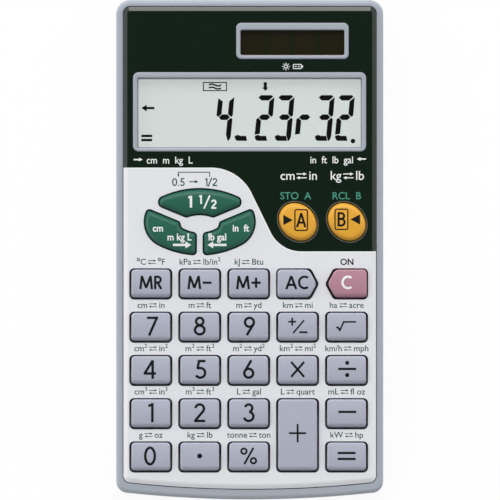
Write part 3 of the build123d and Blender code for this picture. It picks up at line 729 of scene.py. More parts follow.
class CALCULATOR_OT_case(CalculatorOperator, bpy.types.Operator):
    """Finishes the two case halves and the screws in the back"""

    bl_idname = "calculator.case"
    bl_label = "Case"

    def execute(self, context):
        # Silver lacquer sprayed over ABS: an even satin grey with fine bright flakes
        skin = {"grain": 0.25, "depth": 0.03, "relief": 0.003, "rough": 0.48, "Specular_IOR_Level": 0.3}
        silver = moulded("silver_lacquered_abs", self.colours.case, **skin)
        dress("front_case", silver)
        dress("rear_case", silver)
        # Zinc-plated steel: bright, slightly blue
        dress("case_screws", metal("zinc_plated_steel", linear("B9BEC4")))
        return {"FINISHED"}


class CALCULATOR_OT_face_plate(CalculatorOperator, bpy.types.Operator):
    """Finishes the face plate in pale silver and dark green"""

    bl_idname = "calculator.face_plate"
    bl_label = "Face plate"

    def execute(self, context):
        dress("face_plate", two_tone_lacquer(self.colours))
        return {"FINISHED"}


# Legends of the crowned keys, by node: words as glyphs, signs as strokes with their width and as discs with
# their radius, in millimetres from the key's middle
DIGIT_KEYS = [f"key_{number}" for number in range(10)]
LETTER_KEYS = {"key_memory_recall": "MR", "key_memory_minus": "M-", "key_memory_plus": "M+"}
POINTED_KEYS = {"key_all_clear": ("AC", 1), "key_clear": ("C", -1)}
SIGN_STROKES = {
    "key_sign": [
        ([[(-2.45, 1.45), (-0.4, 1.45)], [(-1.42, 0.4), (-1.42, 2.5)]], 0.45),
        ([[(-1.2, -1.55), (1.7, 1.85)]], 0.42),
        ([[(0.45, -1.3), (2.55, -1.3)]], 0.5),
    ],
    "key_root": [
        ([[(-2.7, -0.15), (-2.25, 0.0), (-1.75, -0.85)]], 0.5),
        ([[(-1.85, -1.0), (-0.75, 1.45)], [(-0.95, 1.4), (2.5, 1.4)]], 0.42),
    ],
    "key_times": [([[(-1.7, 2.25), (1.7, -1.65)], [(-1.7, -1.65), (1.7, 2.25)]], 0.58)],
    "key_divide": [([[(-2.2, 0.42), (2.5, 0.42)]], 0.6)],
    "key_plus": [([[(-2.25, 0.6), (2.25, 0.6)], [(0.0, -1.8), (0.0, 3.0)]], 0.5)],
    "key_minus": [([[(-2.17, 0.5), (2.53, 0.5)]], 0.6)],
    "key_point": [],
    "key_percent": [
        ([ring(-1.25, 1.55, 0.7, 0.7), ring(1.25, -0.95, 0.7, 0.7), [(-1.15, -1.85), (1.25, 2.45)]], 0.5),
    ],
    "key_equals": [([[(-2.35, 1.08), (2.35, 1.08)], [(-2.35, -0.48), (2.35, -0.48)]], 0.6)],
}
SIGN_DISCS = {"key_divide": [(0.15, 2.02, 0.54), (0.15, -1.18, 0.54)], "key_point": [(0.0, 0.3, 0.66)]}
# How far each digit stands right of its key's middle, and all digits above it
DIGIT_SHIFTS = {"key_7": 0.4, "key_9": 0.2, "key_5": 0.2, "key_4": -0.25, "key_0": -0.2}
DIGIT_RISE = 0.3
LETTER_RISE = 0.4
# A packed key's flange or lugs reach out past its cap; the shown cap is drawn in a little more
LUG_REACH = 0.79
SIDE_DRAFT = 0.24
POINT_DRAFT = 0.05
NEAR_DRAFT = 0.16
KEY_SINK = 0.03
# How steeply a pointed key's end closes in
POINT_SLOPE = 0.537
# Faces round a key's corner or edge, and the width of the first ring of its top
EDGE_FACES = 6
TOP_RING = 0.12
# Spacing of the cuts over a near roll, a roll round an outline and a crown, and of an outline's points
ROLL_STEP = 0.12
EDGE_STEP = 0.35
CROWN_STEP = 0.6
OUTLINE_STEP = 0.04


class Outline:
    """A cap's outline at one height, as close points seen from above, in millimetres."""

    def __init__(self, bm, height):
        section = bm.copy()
        points = []
        for edge in cut_level(section, height):
            start, end = (Vector((v.co.x, v.co.y, 0)) for v in edge.verts)
            steps = math.ceil((end - start).length / OUTLINE_STEP)
            points += [start.lerp(end, n / steps) for n in range(steps + 1)]
        section.free()
        self.tree = KDTree(len(points))
        for number, point in enumerate(points):
            self.tree.insert(point, number)
        self.tree.balance()

    def distance(self, x, y):
        """How far a point lies from the outline."""
        return self.tree.find((x, y, 0))[2]


class Crown:
    """A key's upper surface, in millimetres: crowned along Y, and rolled at its near edge or all round."""

    def __init__(self, near, far, top, crown, roll, reach, depth, outline=None):
        self.near, self.far, self.top = near, far, top
        self.roll, self.reach, self.depth = roll, reach, depth
        self.outline = outline
        half = (far - near) / 2
        self.radius = (half**2 + crown**2) / (2 * crown)

    def level(self, x, y):
        """The height of the surface at a point."""
        inside = self.outline.distance(x, y) if self.outline else max(0.0, y - self.near)
        y = max(self.near, min(self.far, y))
        drop = self.radius - math.sqrt(self.radius**2 - (y - (self.near + self.far) / 2) ** 2)
        past = self.reach - inside
        if past > 0:
            drop += self.depth * (1 - math.sqrt(1 - (past / self.roll) ** 2))
        return self.top - drop

    def cut(self, bm, step):
        """Cuts a mesh finely enough to follow the surface."""
        for axis in (0, 1) if self.outline else (1,):
            low = min(v.co[axis] for v in bm.verts)
            high = max(v.co[axis] for v in bm.verts)
            for n in range(1, math.ceil((high - low) / step)):
                cut_across(bm, low + n * step, axis)

    def press(self, bm, foot):
        """Cuts a cap with a flat top across and presses all that stands over its foot into the crown."""
        if self.outline:
            self.cut(bm, EDGE_STEP)
        else:
            at = self.near
            while at < self.far:
                at += ROLL_STEP if at < self.near + self.reach else CROWN_STEP
                cut_across(bm, at, 1)
        for v in bm.verts:
            share = (v.co.z - foot) / (self.top - foot)
            if share > 0:
                v.co.z -= share * (self.top - self.level(v.co.x, v.co.y))


class CrownedKey:
    """One crowned key's outline and surface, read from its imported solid, in millimetres."""

    def __init__(self, node, sizes, point=0):
        low, high = corners_mm(node)
        self.sizes = sizes
        self.low = low.z
        self.middle = ((low.x + high.x) / 2, (low.y + high.y) / 2)
        reach = LUG_REACH + (POINT_DRAFT if point else SIDE_DRAFT)
        left, right = low.x + reach, high.x - reach
        bottom, top = low.y + NEAR_DRAFT, high.y
        self.top = corners_mm("key_7")[1].z - KEY_SINK
        if point:
            bottom, top = bottom + LUG_REACH, high.y - LUG_REACH
            tip_gap = reach * (math.hypot(1, POINT_SLOPE) - 1)
            left, right = (left, right - tip_gap) if point > 0 else (left + tip_gap, right)
        roll = (sizes.key_roll, sizes.key_roll_reach, sizes.key_roll_depth)
        self.crown = Crown(bottom, top, self.top, sizes.key_crown, *roll)
        shoulder = POINT_SLOPE * (top - self.middle[1])
        self.outline = [(left, bottom), (right, bottom), (right, top), (left, top)]
        if point > 0:
            self.outline[1:3] = [(right - shoulder, bottom), (right, self.middle[1]), (right - shoulder, top)]
        if point < 0:
            self.outline[3:] = [(left + shoulder, top), (left, self.middle[1])]
            self.outline[0] = (left + shoulder, bottom)

    def cap(self):
        """The cap as a closed mesh: a rounded outline drawn up, bevelled, cut across and crowned."""
        bm = bmesh.new()
        bm.faces.new([bm.verts.new((x, y, self.low)) for x, y in self.outline])
        rounding = {"segments": EDGE_FACES, "profile": 0.5, "material": -1}
        bmesh.ops.bevel(bm, geom=bm.verts[:], offset=self.sizes.key_corner, affect="VERTICES", **rounding)
        draw_up(bm, bm.faces[:], self.top - self.low)
        halfway = (self.low + self.top) / 2
        rim = [edge for edge in bm.edges if all(v.co.z > halfway for v in edge.verts)]
        bmesh.ops.bevel(bm, geom=rim, offset=self.sizes.key_edge, affect="EDGES", **rounding)
        top = max(bm.faces, key=lambda face: (face.calc_center_median().z, face.calc_area()))
        bmesh.ops.inset_region(bm, faces=[top], thickness=TOP_RING, use_even_offset=True)
        self.crown.press(bm, halfway)
        return bm


class CALCULATOR_OT_crowned_keys(CalculatorOperator, bpy.types.Operator):
    """Moulds the crowned square and pointed keys and prints their legends"""

    bl_idname = "calculator.crowned_keys"
    bl_label = "Crowned keys"

    def execute(self, context):
        # Moulded ABS with a spark-eroded skin: a soft violet grey, and a dusty pink
        skin = {"grain": 0.22, "depth": 0.02, "relief": 0.004, "rough": 0.45, "Specular_IOR_Level": 0.4}
        grey = moulded("moulded_grey_abs", self.colours.grey_key, **skin)
        pink = moulded("moulded_pink_abs", self.colours.pink_key, **skin)
        black = ink_finish("black_screen_ink", self.colours.black_ink)
        white = ink_finish("white_screen_ink", self.colours.white_ink)
        for node in DIGIT_KEYS + list(LETTER_KEYS) + list(SIGN_STROKES):
            self.key(node, CrownedKey(node, self.sizes), grey, black, "grey_key_plastic")
        for node, (_, point) in POINTED_KEYS.items():
            key = CrownedKey(node, self.sizes, point)
            if point > 0:
                self.key(node, key, grey, black, "grey_key_plastic")
            else:
                self.key(node, key, pink, white, "pink_key_plastic")
        return {"FINISHED"}

    def key(self, node, key, finish, ink_material, slot):
        new_piece(key.cap(), f"{node}_cap", node, finish, replaced=[node])
        ink = Ink(self.sizes.ink)
        self.legend(ink, node, *key.middle)
        ink.lay(f"{node}_legend", node, ink_material, slot, key.crown)

    def legend(self, ink, node, x, y):
        sizes = self.sizes
        if node in DIGIT_KEYS:
            middle = (x + DIGIT_SHIFTS.get(node, 0.0), y + DIGIT_RISE)
            ink.glyphs(node[-1], *middle, sizes.digit, sizes.digit_stroke)
        elif node in SIGN_STROKES:
            for lines, width in SIGN_STROKES[node]:
                ink.strokes([[(x + u, y + v) for u, v in line] for line in lines], width)
            for u, v, radius in SIGN_DISCS.get(node, []):
                ink.disc(x + u, y + v, radius)
        else:
            word = LETTER_KEYS[node] if node in LETTER_KEYS else POINTED_KEYS[node][0]
            ink.glyphs(word, x, y + LETTER_RISE, sizes.letter, sizes.letter_stroke)


# Crowns of the curved and the round keys: rise, and the roll along the edge with its reach and depth
GREEN_CROWN = (0.5, 1.32, 1.27, 1.1)
ROUND_CROWN = (0.3, 1.2, 1.1, 0.7)
# How far below the plate's face they begin, and how far over it the outline is taken
CROWN_FOOT = 0.7
OUTLINE_RISE = 0.12
# The mixed number on the upper curved key: digits with their pixel place, height and stroke, and the line
MIXED_NUMBER = [
    ("1", 190.0, 201.7, 3.1, 0.62),
    ("1", 200.4, 199.6, 2.3, 0.46),
    ("2", 213.8, 204.2, 2.3, 0.46),
]
FRACTION_LINE = [(204.0, 208.6), (209.8, 195.4)]
FRACTION_STROKE = 0.42
# The two lower curved keys: lettering with its pixel place and anchor, and an arrow's tail and tip columns
ARROW_KEYS = {
    "key_to_metric": ([("cm", 152.6, 231.4, 0.0), ("m kg L", 191.6, 240.3, 1.0)], (173.0, 191.3)),
    "key_from_metric": ([("in  ft", 249.2, 231.4, 1.0), ("lb gal", 208.2, 240.3, 0.0)], (226.5, 207.5)),
}
ARROW_ROW = 244.9
KEY_LETTERING = Lettering(1.85, 0.92, 0.06)
KEY_ARROW = Arrow(0.62, 1.5, 0.92)
# The round keys: a sign, pixel corners of the box round it, and those of a filled triangle
BOXED_KEYS = {
    "key_rate_a": (
        "narrow A", (294.9, 230.4), (307.4, 209.7), [(292.7, 220.1), (283.3, 214.9), (283.3, 225.2)]
    ),
    "key_rate_b": ("B", (335.0, 229.4), (347.8, 209.2), [(350.4, 219.4), (360.0, 224.5), (360.0, 214.3)]),
}
BOX_CORNER = 0.45
BOX_STROKE = 0.33
BOXED_HEIGHT = 3.75
BOXED_STROKE = 0.56


class CALCULATOR_OT_shaped_keys(CalculatorOperator, bpy.types.Operator):
    """Finishes the curved and round keys and prints their legends"""

    bl_idname = "calculator.shaped_keys"
    bl_label = "Curved and round keys"

    def execute(self, context):
        # Polished green ABS: deep colour under a smooth, wet-looking skin
        skin = {"grain": 0.4, "depth": 0.06, "relief": 0.002, "rough": 0.34, "spread": 0.04}
        green = moulded("polished_green_abs", self.colours.green_key, **skin, Specular_IOR_Level=0.32)
        # Moulded orange ABS with a satin skin
        skin = {"grain": 0.25, "depth": 0.03, "relief": 0.003, "rough": 0.38}
        orange = moulded("moulded_orange_abs", self.colours.orange_key, **skin, Specular_IOR_Level=0.4)
        white = bpy.data.materials["white_screen_ink"]
        black = bpy.data.materials["black_screen_ink"]
        for node in ("key_fraction", *ARROW_KEYS):
            self.key(node, green, white, "green_key_plastic", *GREEN_CROWN)
        for node in BOXED_KEYS:
            self.key(node, orange, black, "orange_key_plastic", *ROUND_CROWN)
        return {"FINISHED"}

    def key(self, node, finish, ink_material, slot, rise, *roll):
        """A copy of a packed key with its flat top pressed into a crown, and its legend."""
        low, high = corners_mm(node)
        bm = packed_mesh(node)
        outline = Outline(bm, PLATE_TOP + OUTLINE_RISE)
        crown = Crown(low.y + LUG_REACH, high.y - LUG_REACH, high.z, rise, *roll, outline)
        crown.press(bm, PLATE_TOP - CROWN_FOOT)
        new_piece(bm, f"{node}_cap", node, finish, replaced=[node])
        ink = Ink(self.sizes.ink)
        if node in ARROW_KEYS:
            self.arrow_legend(ink, *ARROW_KEYS[node])
        elif node in BOXED_KEYS:
            self.boxed_legend(ink, *BOXED_KEYS[node])
        else:
            self.mixed_number(ink)
        ink.lay(f"{node}_legend", node, ink_material, slot, crown)

    def mixed_number(self, ink):
        for digit, column, row, height, stroke in MIXED_NUMBER:
            ink.glyphs(digit, *place(column, row), height, stroke)
        ink.strokes([[place(*end) for end in FRACTION_LINE]], FRACTION_STROKE)

    def arrow_legend(self, ink, words, ends):
        for text, column, row, anchor in words:
            ink.letters(text, *place(column, row), KEY_LETTERING, anchor)
        ink.arrow(*map(column_x, ends), row_y(ARROW_ROW), KEY_ARROW)

    def boxed_legend(self, ink, sign, low, high, triangle):
        low, high = place(*low), place(*high)
        ink.strokes([rounded_box(*low, *high, BOX_CORNER)], BOX_STROKE)
        ink.glyphs([sign], (low[0] + high[0]) / 2, (low[1] + high[1]) / 2, BOXED_HEIGHT, BOXED_STROKE)
        ink.shape([place(*corner) for corner in triangle])


# Unit pairs printed past a key's far edge, by node: metric first, in plain symbols
UNIT_PAIRS = {
    "key_memory_recall": ("°C", "°F"),
    "key_memory_minus": ("kPa", "lb/in²"),
    "key_memory_plus": ("kJ", "Btu"),
    "key_7": ("cm", "in"),
    "key_8": ("m", "ft"),
    "key_9": ("m", "yd"),
    "key_sign": ("km", "mi"),
    "key_root": ("ha", "acre"),
    "key_4": ("cm²", "in²"),
    "key_5": ("m²", "ft²"),
    "key_6": ("m²", "yd²"),
    "key_times": ("km²", "mi²"),
    "key_divide": ("km/h", "mph"),
    "key_1": ("cm³", "in³"),
    "key_2": ("m³", "ft³"),
    "key_3": ("L", "gal"),
    "key_plus": ("L", "quart"),
    "key_minus": ("mL", "fl oz"),
    "key_0": ("g", "oz"),
    "key_point": ("kg", "lb"),
    "key_percent": ("tonne", "ton"),
    "key_equals": ("kW", "hp"),
}
# How far the labels stand over their keys, and the space between a symbol and the arrows
LABEL_RISE = 1.29
LABEL_GAP = 0.48
# Two small arrows that point apart, one over the other: their reach and spread from the middle, line and head
TwoWay = namedtuple("TwoWay", "reach spread width head")
UNIT_ARROWS = TwoWay(1.05, 0.36, 0.18, 0.6)
RATE_ARROWS = TwoWay(1.35, 0.5, 0.26, 0.85)
ARROWS_RISE_SHARE = 0.42
# The print on the dark panel: words with their pixel place and anchor, arrows with their columns and row, and
# the symbols over the round keys with their column
EDGE_WORDS = [("cm  m  kg  L", 146.4, 163.5, 0.0), ("in  ft  lb  gal", 353.0, 163.2, 1.0)]
EDGE_ARROWS = [(133.6, 142.8, 159.6), (366.0, 356.6, 159.0)]
RATE_PAIRS = [("cm", "in", 298.5), ("kg", "lb", 347.0)]
RATE_ROW = 179.8
STORE_WORDS = [("STO  A", 295.6, 199.2), ("RCL  B", 346.5, 199.2)]
UNIT_WEIGHT = 0.012
EDGE_LETTERING = Lettering(1.9, 0.92, 0.025)
EDGE_ARROW = Arrow(0.36, 1.05, 0.48)
RATE_LETTERING = Lettering(2.45, 0.98, 0.02)
STORE_LETTERING = Lettering(1.95, 0.98, 0.025)
ON_LETTERING = Lettering(1.65, 1.0, 0.05)
# The decimal and the fraction under their bracket: pixel places, and the size of the numbers in millimetres
DECIMAL_COLUMN, FRACTION_COLUMN = 178.4, 211.2
BRACKET_CORNERS = [(178.4, 172.2), (209.6, 176.8)]
DECIMAL_ROW = 186.0
DECIMAL_RISE = 1.02
DECIMAL_HEIGHT = 2.05
DECIMAL_STROKE = 0.3
DECIMAL_ARROW = Arrow(0.26, 0.95, 0.42)
# Half axes and width of the painted highlight round a leaning hole
ROUND_LONG = 5.77
ROUND_SHORT = 4.95
HOLE_HIGHLIGHT_WIDTH = 0.14


class CALCULATOR_OT_plate_print(CalculatorOperator, bpy.types.Operator):
    """Prints the unit labels and the small signs on the face plate, and paints a highlight round the two
    leaning holes
    """

    bl_idname = "calculator.plate_print"
    bl_label = "Print on the plate"

    def execute(self, context):
        self.unit_labels()
        self.white_print()
        self.teal_print()
        self.dark_print()
        self.hole_rim_highlights()
        return {"FINISHED"}

    def lay(self, ink, name, finish):
        ink.lay(name, "case", finish, "plate_plastic", PLATE_TOP)

    def pair(self, ink, first, second, x, y, style, arrows):
        """Two symbols with two arrows between them, centred together on x."""
        start = len(ink.bm.verts)
        gap = arrows.reach + LABEL_GAP
        left = ink.letters(first, x - gap, y, style, anchor=1.0)
        right = ink.letters(second, x + gap, y, style, anchor=0.0)
        shape = Arrow(arrows.width, arrows.head, arrows.head / 2)
        for turn in (1, -1):
            level = y + style.cap * ARROWS_RISE_SHARE + arrows.spread * turn
            ink.arrow(x - arrows.reach * turn, x + arrows.reach * turn, level, shape)
        ink.slide(start, (left - right) / 2)

    def unit_labels(self):
        ink = Ink(self.sizes.ink)
        style = Lettering(self.sizes.unit, 1.0, UNIT_WEIGHT)
        for node, (metric, other) in UNIT_PAIRS.items():
            low, high = corners_mm(node)
            self.pair(ink, metric, other, (low.x + high.x) / 2, high.y + LABEL_RISE, style, UNIT_ARROWS)
        self.decimal_label(ink)
        self.lay(ink, "plate_unit_labels", ink_finish("green_screen_ink", self.colours.green_ink))

    def decimal_label(self, ink):
        """A decimal turned into a fraction and back, under a bracket."""
        (x0, y0), (x1, y1) = (place(*corner) for corner in BRACKET_CORNERS)
        bracket = [[(x0, y1 + 0.4), (x0, y0)], [(x0 - 0.1, y0), (x1 + 0.1, y0)], [(x1, y0), (x1, y1)]]
        ink.strokes(bracket, 0.22)
        ink.shape([(x0 - 0.3, y1 + 0.65), (x0, y1 - 0.05), (x0 + 0.3, y1 + 0.65)])
        middle = row_y(DECIMAL_ROW) + DECIMAL_RISE
        ink.glyphs("0.5", column_x(DECIMAL_COLUMN), middle, DECIMAL_HEIGHT, DECIMAL_STROKE)
        ink.arrow(column_x(189.2), column_x(198.4), row_y(181.7), DECIMAL_ARROW)
        ink.glyphs("1/2", column_x(FRACTION_COLUMN), middle, DECIMAL_HEIGHT, DECIMAL_STROKE)

    def white_print(self):
        ink = Ink(self.sizes.ink)
        for tail, tip, row in EDGE_ARROWS:
            ink.arrow(column_x(tail), column_x(tip), row_y(row), EDGE_ARROW)
        for text, column, row, anchor in EDGE_WORDS:
            ink.letters(text, *place(column, row), EDGE_LETTERING, anchor)
        for first, second, column in RATE_PAIRS:
            self.pair(ink, first, second, *place(column, RATE_ROW), RATE_LETTERING, RATE_ARROWS)
        self.power_signs(ink)
        self.lay(ink, "plate_white_print", bpy.data.materials["white_screen_ink"])

    def power_signs(self, ink):
        """A small sun and a cell, for light and battery power."""
        x, y = place(286.0, 66.5)
        ink.strokes([ring(x, y, 0.42, 0.42)], 0.22)
        rays = [Vector((math.cos(a), math.sin(a))) for a in (math.radians(45 * n) for n in range(8))]
        ink.strokes([[Vector((x, y)) + ray * 0.68, Vector((x, y)) + ray] for ray in rays], 0.2)
        x, y = place(297.5, 66.5)
        ink.strokes([rounded_box(x - 1.1, y - 0.55, x + 1.0, y + 0.55, 0.15)], 0.2)
        ink.strokes([[(x + 1.1, y), (x + 1.45, y)]], 0.5)
        signs = [[(x - 0.75, y), (x - 0.15, y)], [(x + 0.1, y), (x + 0.65, y)]]
        ink.strokes(signs + [[(x + 0.375, y - 0.27), (x + 0.375, y + 0.27)]], 0.17)

    def teal_print(self):
        ink = Ink(self.sizes.ink)
        for text, column, row in STORE_WORDS:
            ink.letters(text, *place(column, row), STORE_LETTERING)
        self.lay(ink, "plate_teal_print", ink_finish("teal_screen_ink", self.colours.teal_ink))

    def dark_print(self):
        ink = Ink(self.sizes.ink)
        ink.letters("ON", *place(346.8, 264.8), ON_LETTERING)
        self.lay(ink, "plate_dark_print", bpy.data.materials["black_screen_ink"])

    def hole_rim_highlights(self):
        """A painted highlight round the two leaning holes, standing for the light their edges catch."""
        ink = Ink(self.sizes.ink)
        lean = math.sqrt(0.5)
        around = ring(0, 0, ROUND_LONG, ROUND_SHORT)
        for node in BOXED_KEYS:
            low, high = corners_mm(node)
            x, y = (low.x + high.x) / 2, (low.y + high.y) / 2
            ink.strokes([[(x + (u + v) * lean, y + (v - u) * lean) for u, v in around]], HOLE_HIGHLIGHT_WIDTH)
        self.lay(ink, "plate_hole_rim_highlights", ink_finish("painted_hole_rim_highlight", self.colours.hole_rim_highlight))


# The display's seven-bar figures, in millimetres rightwards and down from a figure's upper left corner,
# before it leans
FIGURE_BARS = {
    "a": [(-0.03, 0.6), (0.62, -0.04), (3.42, -0.04), (3.82, 0.36), (2.8, 1.36), (0.86, 1.36)],
    "b": [(4.17, 0.46), (4.25, 5.22), (3.96, 5.6), (3.68, 5.6), (2.93, 4.9), (2.93, 1.6)],
    "c": [
        (3.74, 5.95), (3.97, 5.95), (4.25, 6.33), (4.25, 10.76), (4.03, 11.55),
        (3.72, 11.95), (3.52, 11.95), (2.93, 10.35), (2.93, 6.68),
    ],
    "d": [
        (-0.02, 10.66), (0.95, 10.34), (1.3, 10.64), (2.95, 10.64),
        (3.36, 11.95), (0.82, 11.95), (0.36, 11.7), (0.07, 11.18),
    ],
    "e": [(-0.05, 6.38), (0.28, 5.95), (0.52, 5.95), (1.27, 6.68), (1.27, 10.1), (-0.05, 10.35)],
    "f": [(0.0, 0.8), (1.27, 1.58), (1.27, 4.92), (0.52, 5.6), (0.23, 5.6), (-0.05, 5.22)],
    "g": [(0.58, 5.75), (1.37, 5.02), (2.83, 5.02), (3.57, 5.75), (2.83, 6.48), (1.32, 6.48)],
}
FIGURE_SIGNS = {"4": "bcfg", "_": "d", "2": "abdeg", "3": "abcdg", "r": "eg"}
FIGURES = "4_23r32"
# Pixel places of the first figure's upper left corner and of the middle line it leans about, and the spacing
FIGURE_COLUMN = 216.35
FIGURE_TOP_ROW = 95.1
FIGURE_MIDDLE_ROW = 117.5
FIGURE_PITCH = 20.1
# The decimal point, and the small signs along the display's left edge
POINT_PLACE = (353.1, 140.9)
POINT_RADIUS = 0.6
EDGE_COLUMN = 141.2
DISPLAY_ARROW = Arrow(0.62, 1.4, 0.9)
# Strength of a glow painted on the display's reflector to lift the shade in its well; it is no lamp
PAINTED_GLASS_GLOW = 1.6


class CALCULATOR_OT_display(CalculatorOperator, bpy.types.Operator):
    """Draws the display's figures and finishes its window"""

    bl_idname = "calculator.display"
    bl_label = "Display"

    def execute(self, context):
        # Silvered film behind rubbed glass: pale grey green and matt, with a painted glow that lightens its
        # shaded well
        skin = {"grain": 0.15, "depth": 0.012, "relief": 0.001, "rough": 0.55, "Specular_IOR_Level": 0.2}
        glow = {"Emission_Color": paint(self.colours.glass), "Emission_Strength": PAINTED_GLASS_GLOW}
        dress("display_glass", moulded("display_reflector_painted_glow", self.colours.glass, **skin, **glow))
        dress("display_window", self.window())
        # Layered silicone rubber of the connector strip: fine soft bands of pink and grey
        strip = moulded("layered_silicone", linear("9A7F8E"), grain=0.3, depth=0.2, rough=0.6)
        dress("display_connector", strip)
        ink = Ink(self.sizes.ink)
        for number, sign in enumerate(FIGURES):
            self.figure(ink, sign, FIGURE_COLUMN + FIGURE_PITCH * number)
        ink.disc(*place(*POINT_PLACE), POINT_RADIUS)
        self.small_signs(ink)
        # Liquid crystal turned on: nearly black and flat
        skin = {"grain": 0.3, "depth": 0.04, "relief": 0.001, "rough": 0.6, "Specular_IOR_Level": 0.02}
        dark = moulded("dark_liquid_crystal", self.colours.figures, **skin)
        ink.lay("display_figures", "case", dark, "display_glass", GLASS_TOP)
        return {"FINISHED"}

    def window(self):
        """Cast acrylic: clear from above, a thin mirror at a slant."""
        material, tree, where = new_material("cast_clear_acrylic")
        haze, _ = mottled(tree, where, (0.97, 0.98, 0.98), 5.0, 0.01)
        mirror = add(tree, "BsdfPrincipled", {"Base Color": haze, "Metallic": 1.0, "Roughness": 0.04})
        clear = add(tree, "BsdfTransparent")
        slant = add(tree, "LayerWeight", {"Blend": 0.5}).outputs["Facing"]
        steep = add(tree, "Math", {0: slant, 1: 5.0}, operation="POWER")
        share = add(tree, "MapRange", {"Value": steep, "To Min": 0.03, "To Max": 1.0})
        mix = add(tree, "MixShader", {"Fac": share, 1: clear, 2: mirror})
        add(tree, "OutputMaterial", {"Surface": mix})
        return material

    def figure(self, ink, sign, column):
        """One leaning figure whose left side is at a pixel column on the middle line."""
        left, middle = place(column, FIGURE_MIDDLE_ROW)
        top = row_y(FIGURE_TOP_ROW)
        slant = self.sizes.figure_slant
        for bar in FIGURE_SIGNS[sign]:
            points = [(left + u, top - v) for u, v in FIGURE_BARS[bar]]
            ink.shape([(x + (y - middle) * slant, y) for x, y in points])

    def small_signs(self, ink):
        """Arrows, an equals sign and a boxed mark along the display's edges."""
        x, y = place(265.3, 82.0)
        ink.strokes([[(x, y), (x, y - 1.45)]], 0.84)
        ink.shape([(x - 0.81, y - 1.4), (x, y - 2.28), (x + 0.81, y - 1.4)])
        left = column_x(EDGE_COLUMN)
        ink.arrow(column_x(154.3), left, row_y(107.9), DISPLAY_ARROW)
        ink.strokes([[(left, row_y(row)), (column_x(152.0), row_y(row))] for row in (135.8, 139.9)], 0.64)
        x0, y0 = place(203.4, 90.4)
        x1, y1 = place(226.5, 82.3)
        ink.strokes([[(x0, y0), (x1, y0), (x1, y1), (x0, y1), (x0, y0)]], 0.36)
        middle = (x0 + x1) / 2
        wave = [(middle - 1.6 + 3.2 * n / 12, 0.24 * math.sin(2 * math.pi * n / 12)) for n in range(13)]
        ink.strokes([[(x, (y0 + y1) / 2 + lift + rise) for x, rise in wave] for lift in (-0.4, 0.4)], 0.4)


# The cell's films: the pixel column of a gap, their pitch, the gaps' width and how softly they begin, and the
# reddish edge at the near end with its distance from the end of the glass
CELL_FIRST_COLUMN = 265.0
CELL_PITCH = PIXEL * 27.25
CELL_GAP = 0.55
GAP_FADE = 0.1
CELL_EDGE = 0.35
CELL_MARGIN = 0.4


class CALCULATOR_OT_solar_window(CalculatorOperator, bpy.types.Operator):
    """Finishes the solar cell with its four films"""

    bl_idname = "calculator.solar_window"
    bl_label = "Solar cell"

    def execute(self, context):
        # Silicon film sputtered on glass: nearly black brown, cut into four by thin green lines
        material, tree, where = new_material("amorphous_silicon_glass")
        colours = self.colours
        split = add(tree, "SeparateXYZ", {"Vector": where}).outputs
        film, _ = mottled(tree, where, colours.cell, 2.0, 0.08)
        start = (column_x(CELL_FIRST_COLUMN) - CELL_PITCH / 2) * MM
        along = add(tree, "Math", {0: split["X"], 1: start}, operation="SUBTRACT")
        inside = add(tree, "Math", {0: along, 1: CELL_PITCH / 2 * MM}, operation="PINGPONG")
        edge = (CELL_PITCH - CELL_GAP) / 2
        ramp = {"From Min": (edge - GAP_FADE) * MM, "From Max": (edge + GAP_FADE) * MM}
        between = add(tree, "MapRange", {"Value": inside, **ramp})
        end = CELL_LOW.y + CELL_MARGIN
        ramp = {"From Min": (end + CELL_EDGE) * MM, "From Max": end * MM}
        near_end = add(tree, "MapRange", {"Value": split["Y"], **ramp})
        layers = [(near_end, paint(colours.cell_edge)), (between, paint(colours.cell_gap))]
        skin = {"Base Color": layered(tree, film, layers), "Roughness": 0.12, "Specular IOR Level": 0.5}
        add(tree, "OutputMaterial", {"Surface": add(tree, "BsdfPrincipled", skin)})
        dress("solar_cell", material)
        return {"FINISHED"}


# The keypad's domes: their height over the sheet, how far over it they are parted from it, and how far one
# reaches from its middle
DOME_HEIGHT = 1.25
DOME_PARTING = 0.05
DOME_REACH = 4.0


class CALCULATOR_OT_keypad(CalculatorOperator, bpy.types.Operator):
    """Parts the rubber keypad into its sheet and a dome under each key"""

    bl_idname = "calculator.keypad"
    bl_label = "Rubber keypad"

    def execute(self, context):
        # Moulded silicone rubber: soft, matt and slightly translucent grey
        rubber = moulded("silicone_rubber", linear("C9CCCB"), grain=0.5, depth=0.02, rough=0.7)
        dress("rubber_keypad", rubber)
        parting = corners_mm("rubber_keypad")[1].z - DOME_HEIGHT + DOME_PARTING
        sheet = self.part(parting, "clear_outer")
        new_piece(sheet, "keypad_sheet", "case", rubber, replaced=["rubber_keypad"])
        domes = self.part(parting, "clear_inner")
        for joint in frame["joints"]:
            node = joint["name"].removesuffix("_press")
            middle = self.foot(node)
            bm = domes.copy()
            far = [v for v in bm.verts if max(abs(v.co.x - middle.x), abs(v.co.y - middle.y)) > DOME_REACH]
            bmesh.ops.delete(bm, geom=far, context="VERTS")
            dome = new_piece(bm, f"{node}_dome", "case", rubber, replaced=["rubber_keypad"])
            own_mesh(dome)
        domes.free()
        return {"FINISHED"}

    def part(self, height, cleared):
        """The keypad on one side of a level cut, closed along it, in millimetres."""
        bm = packed_mesh("rubber_keypad")
        edges = cut_level(bm, height, **{cleared: True})
        bmesh.ops.triangle_fill(bm, edges=edges, use_beauty=True)
        return bm

    def foot(self, node):
        """The middle of a key's lowest face, in millimetres."""
        points = [v.co / MM for v in frame["nodes"][node].data.vertices]
        lowest = min(point.z for point in points)
        foot = [point for point in points if point.z < lowest + 0.01]
        return Vector([(min(p[n] for p in foot) + max(p[n] for p in foot)) / 2 for n in range(3)])


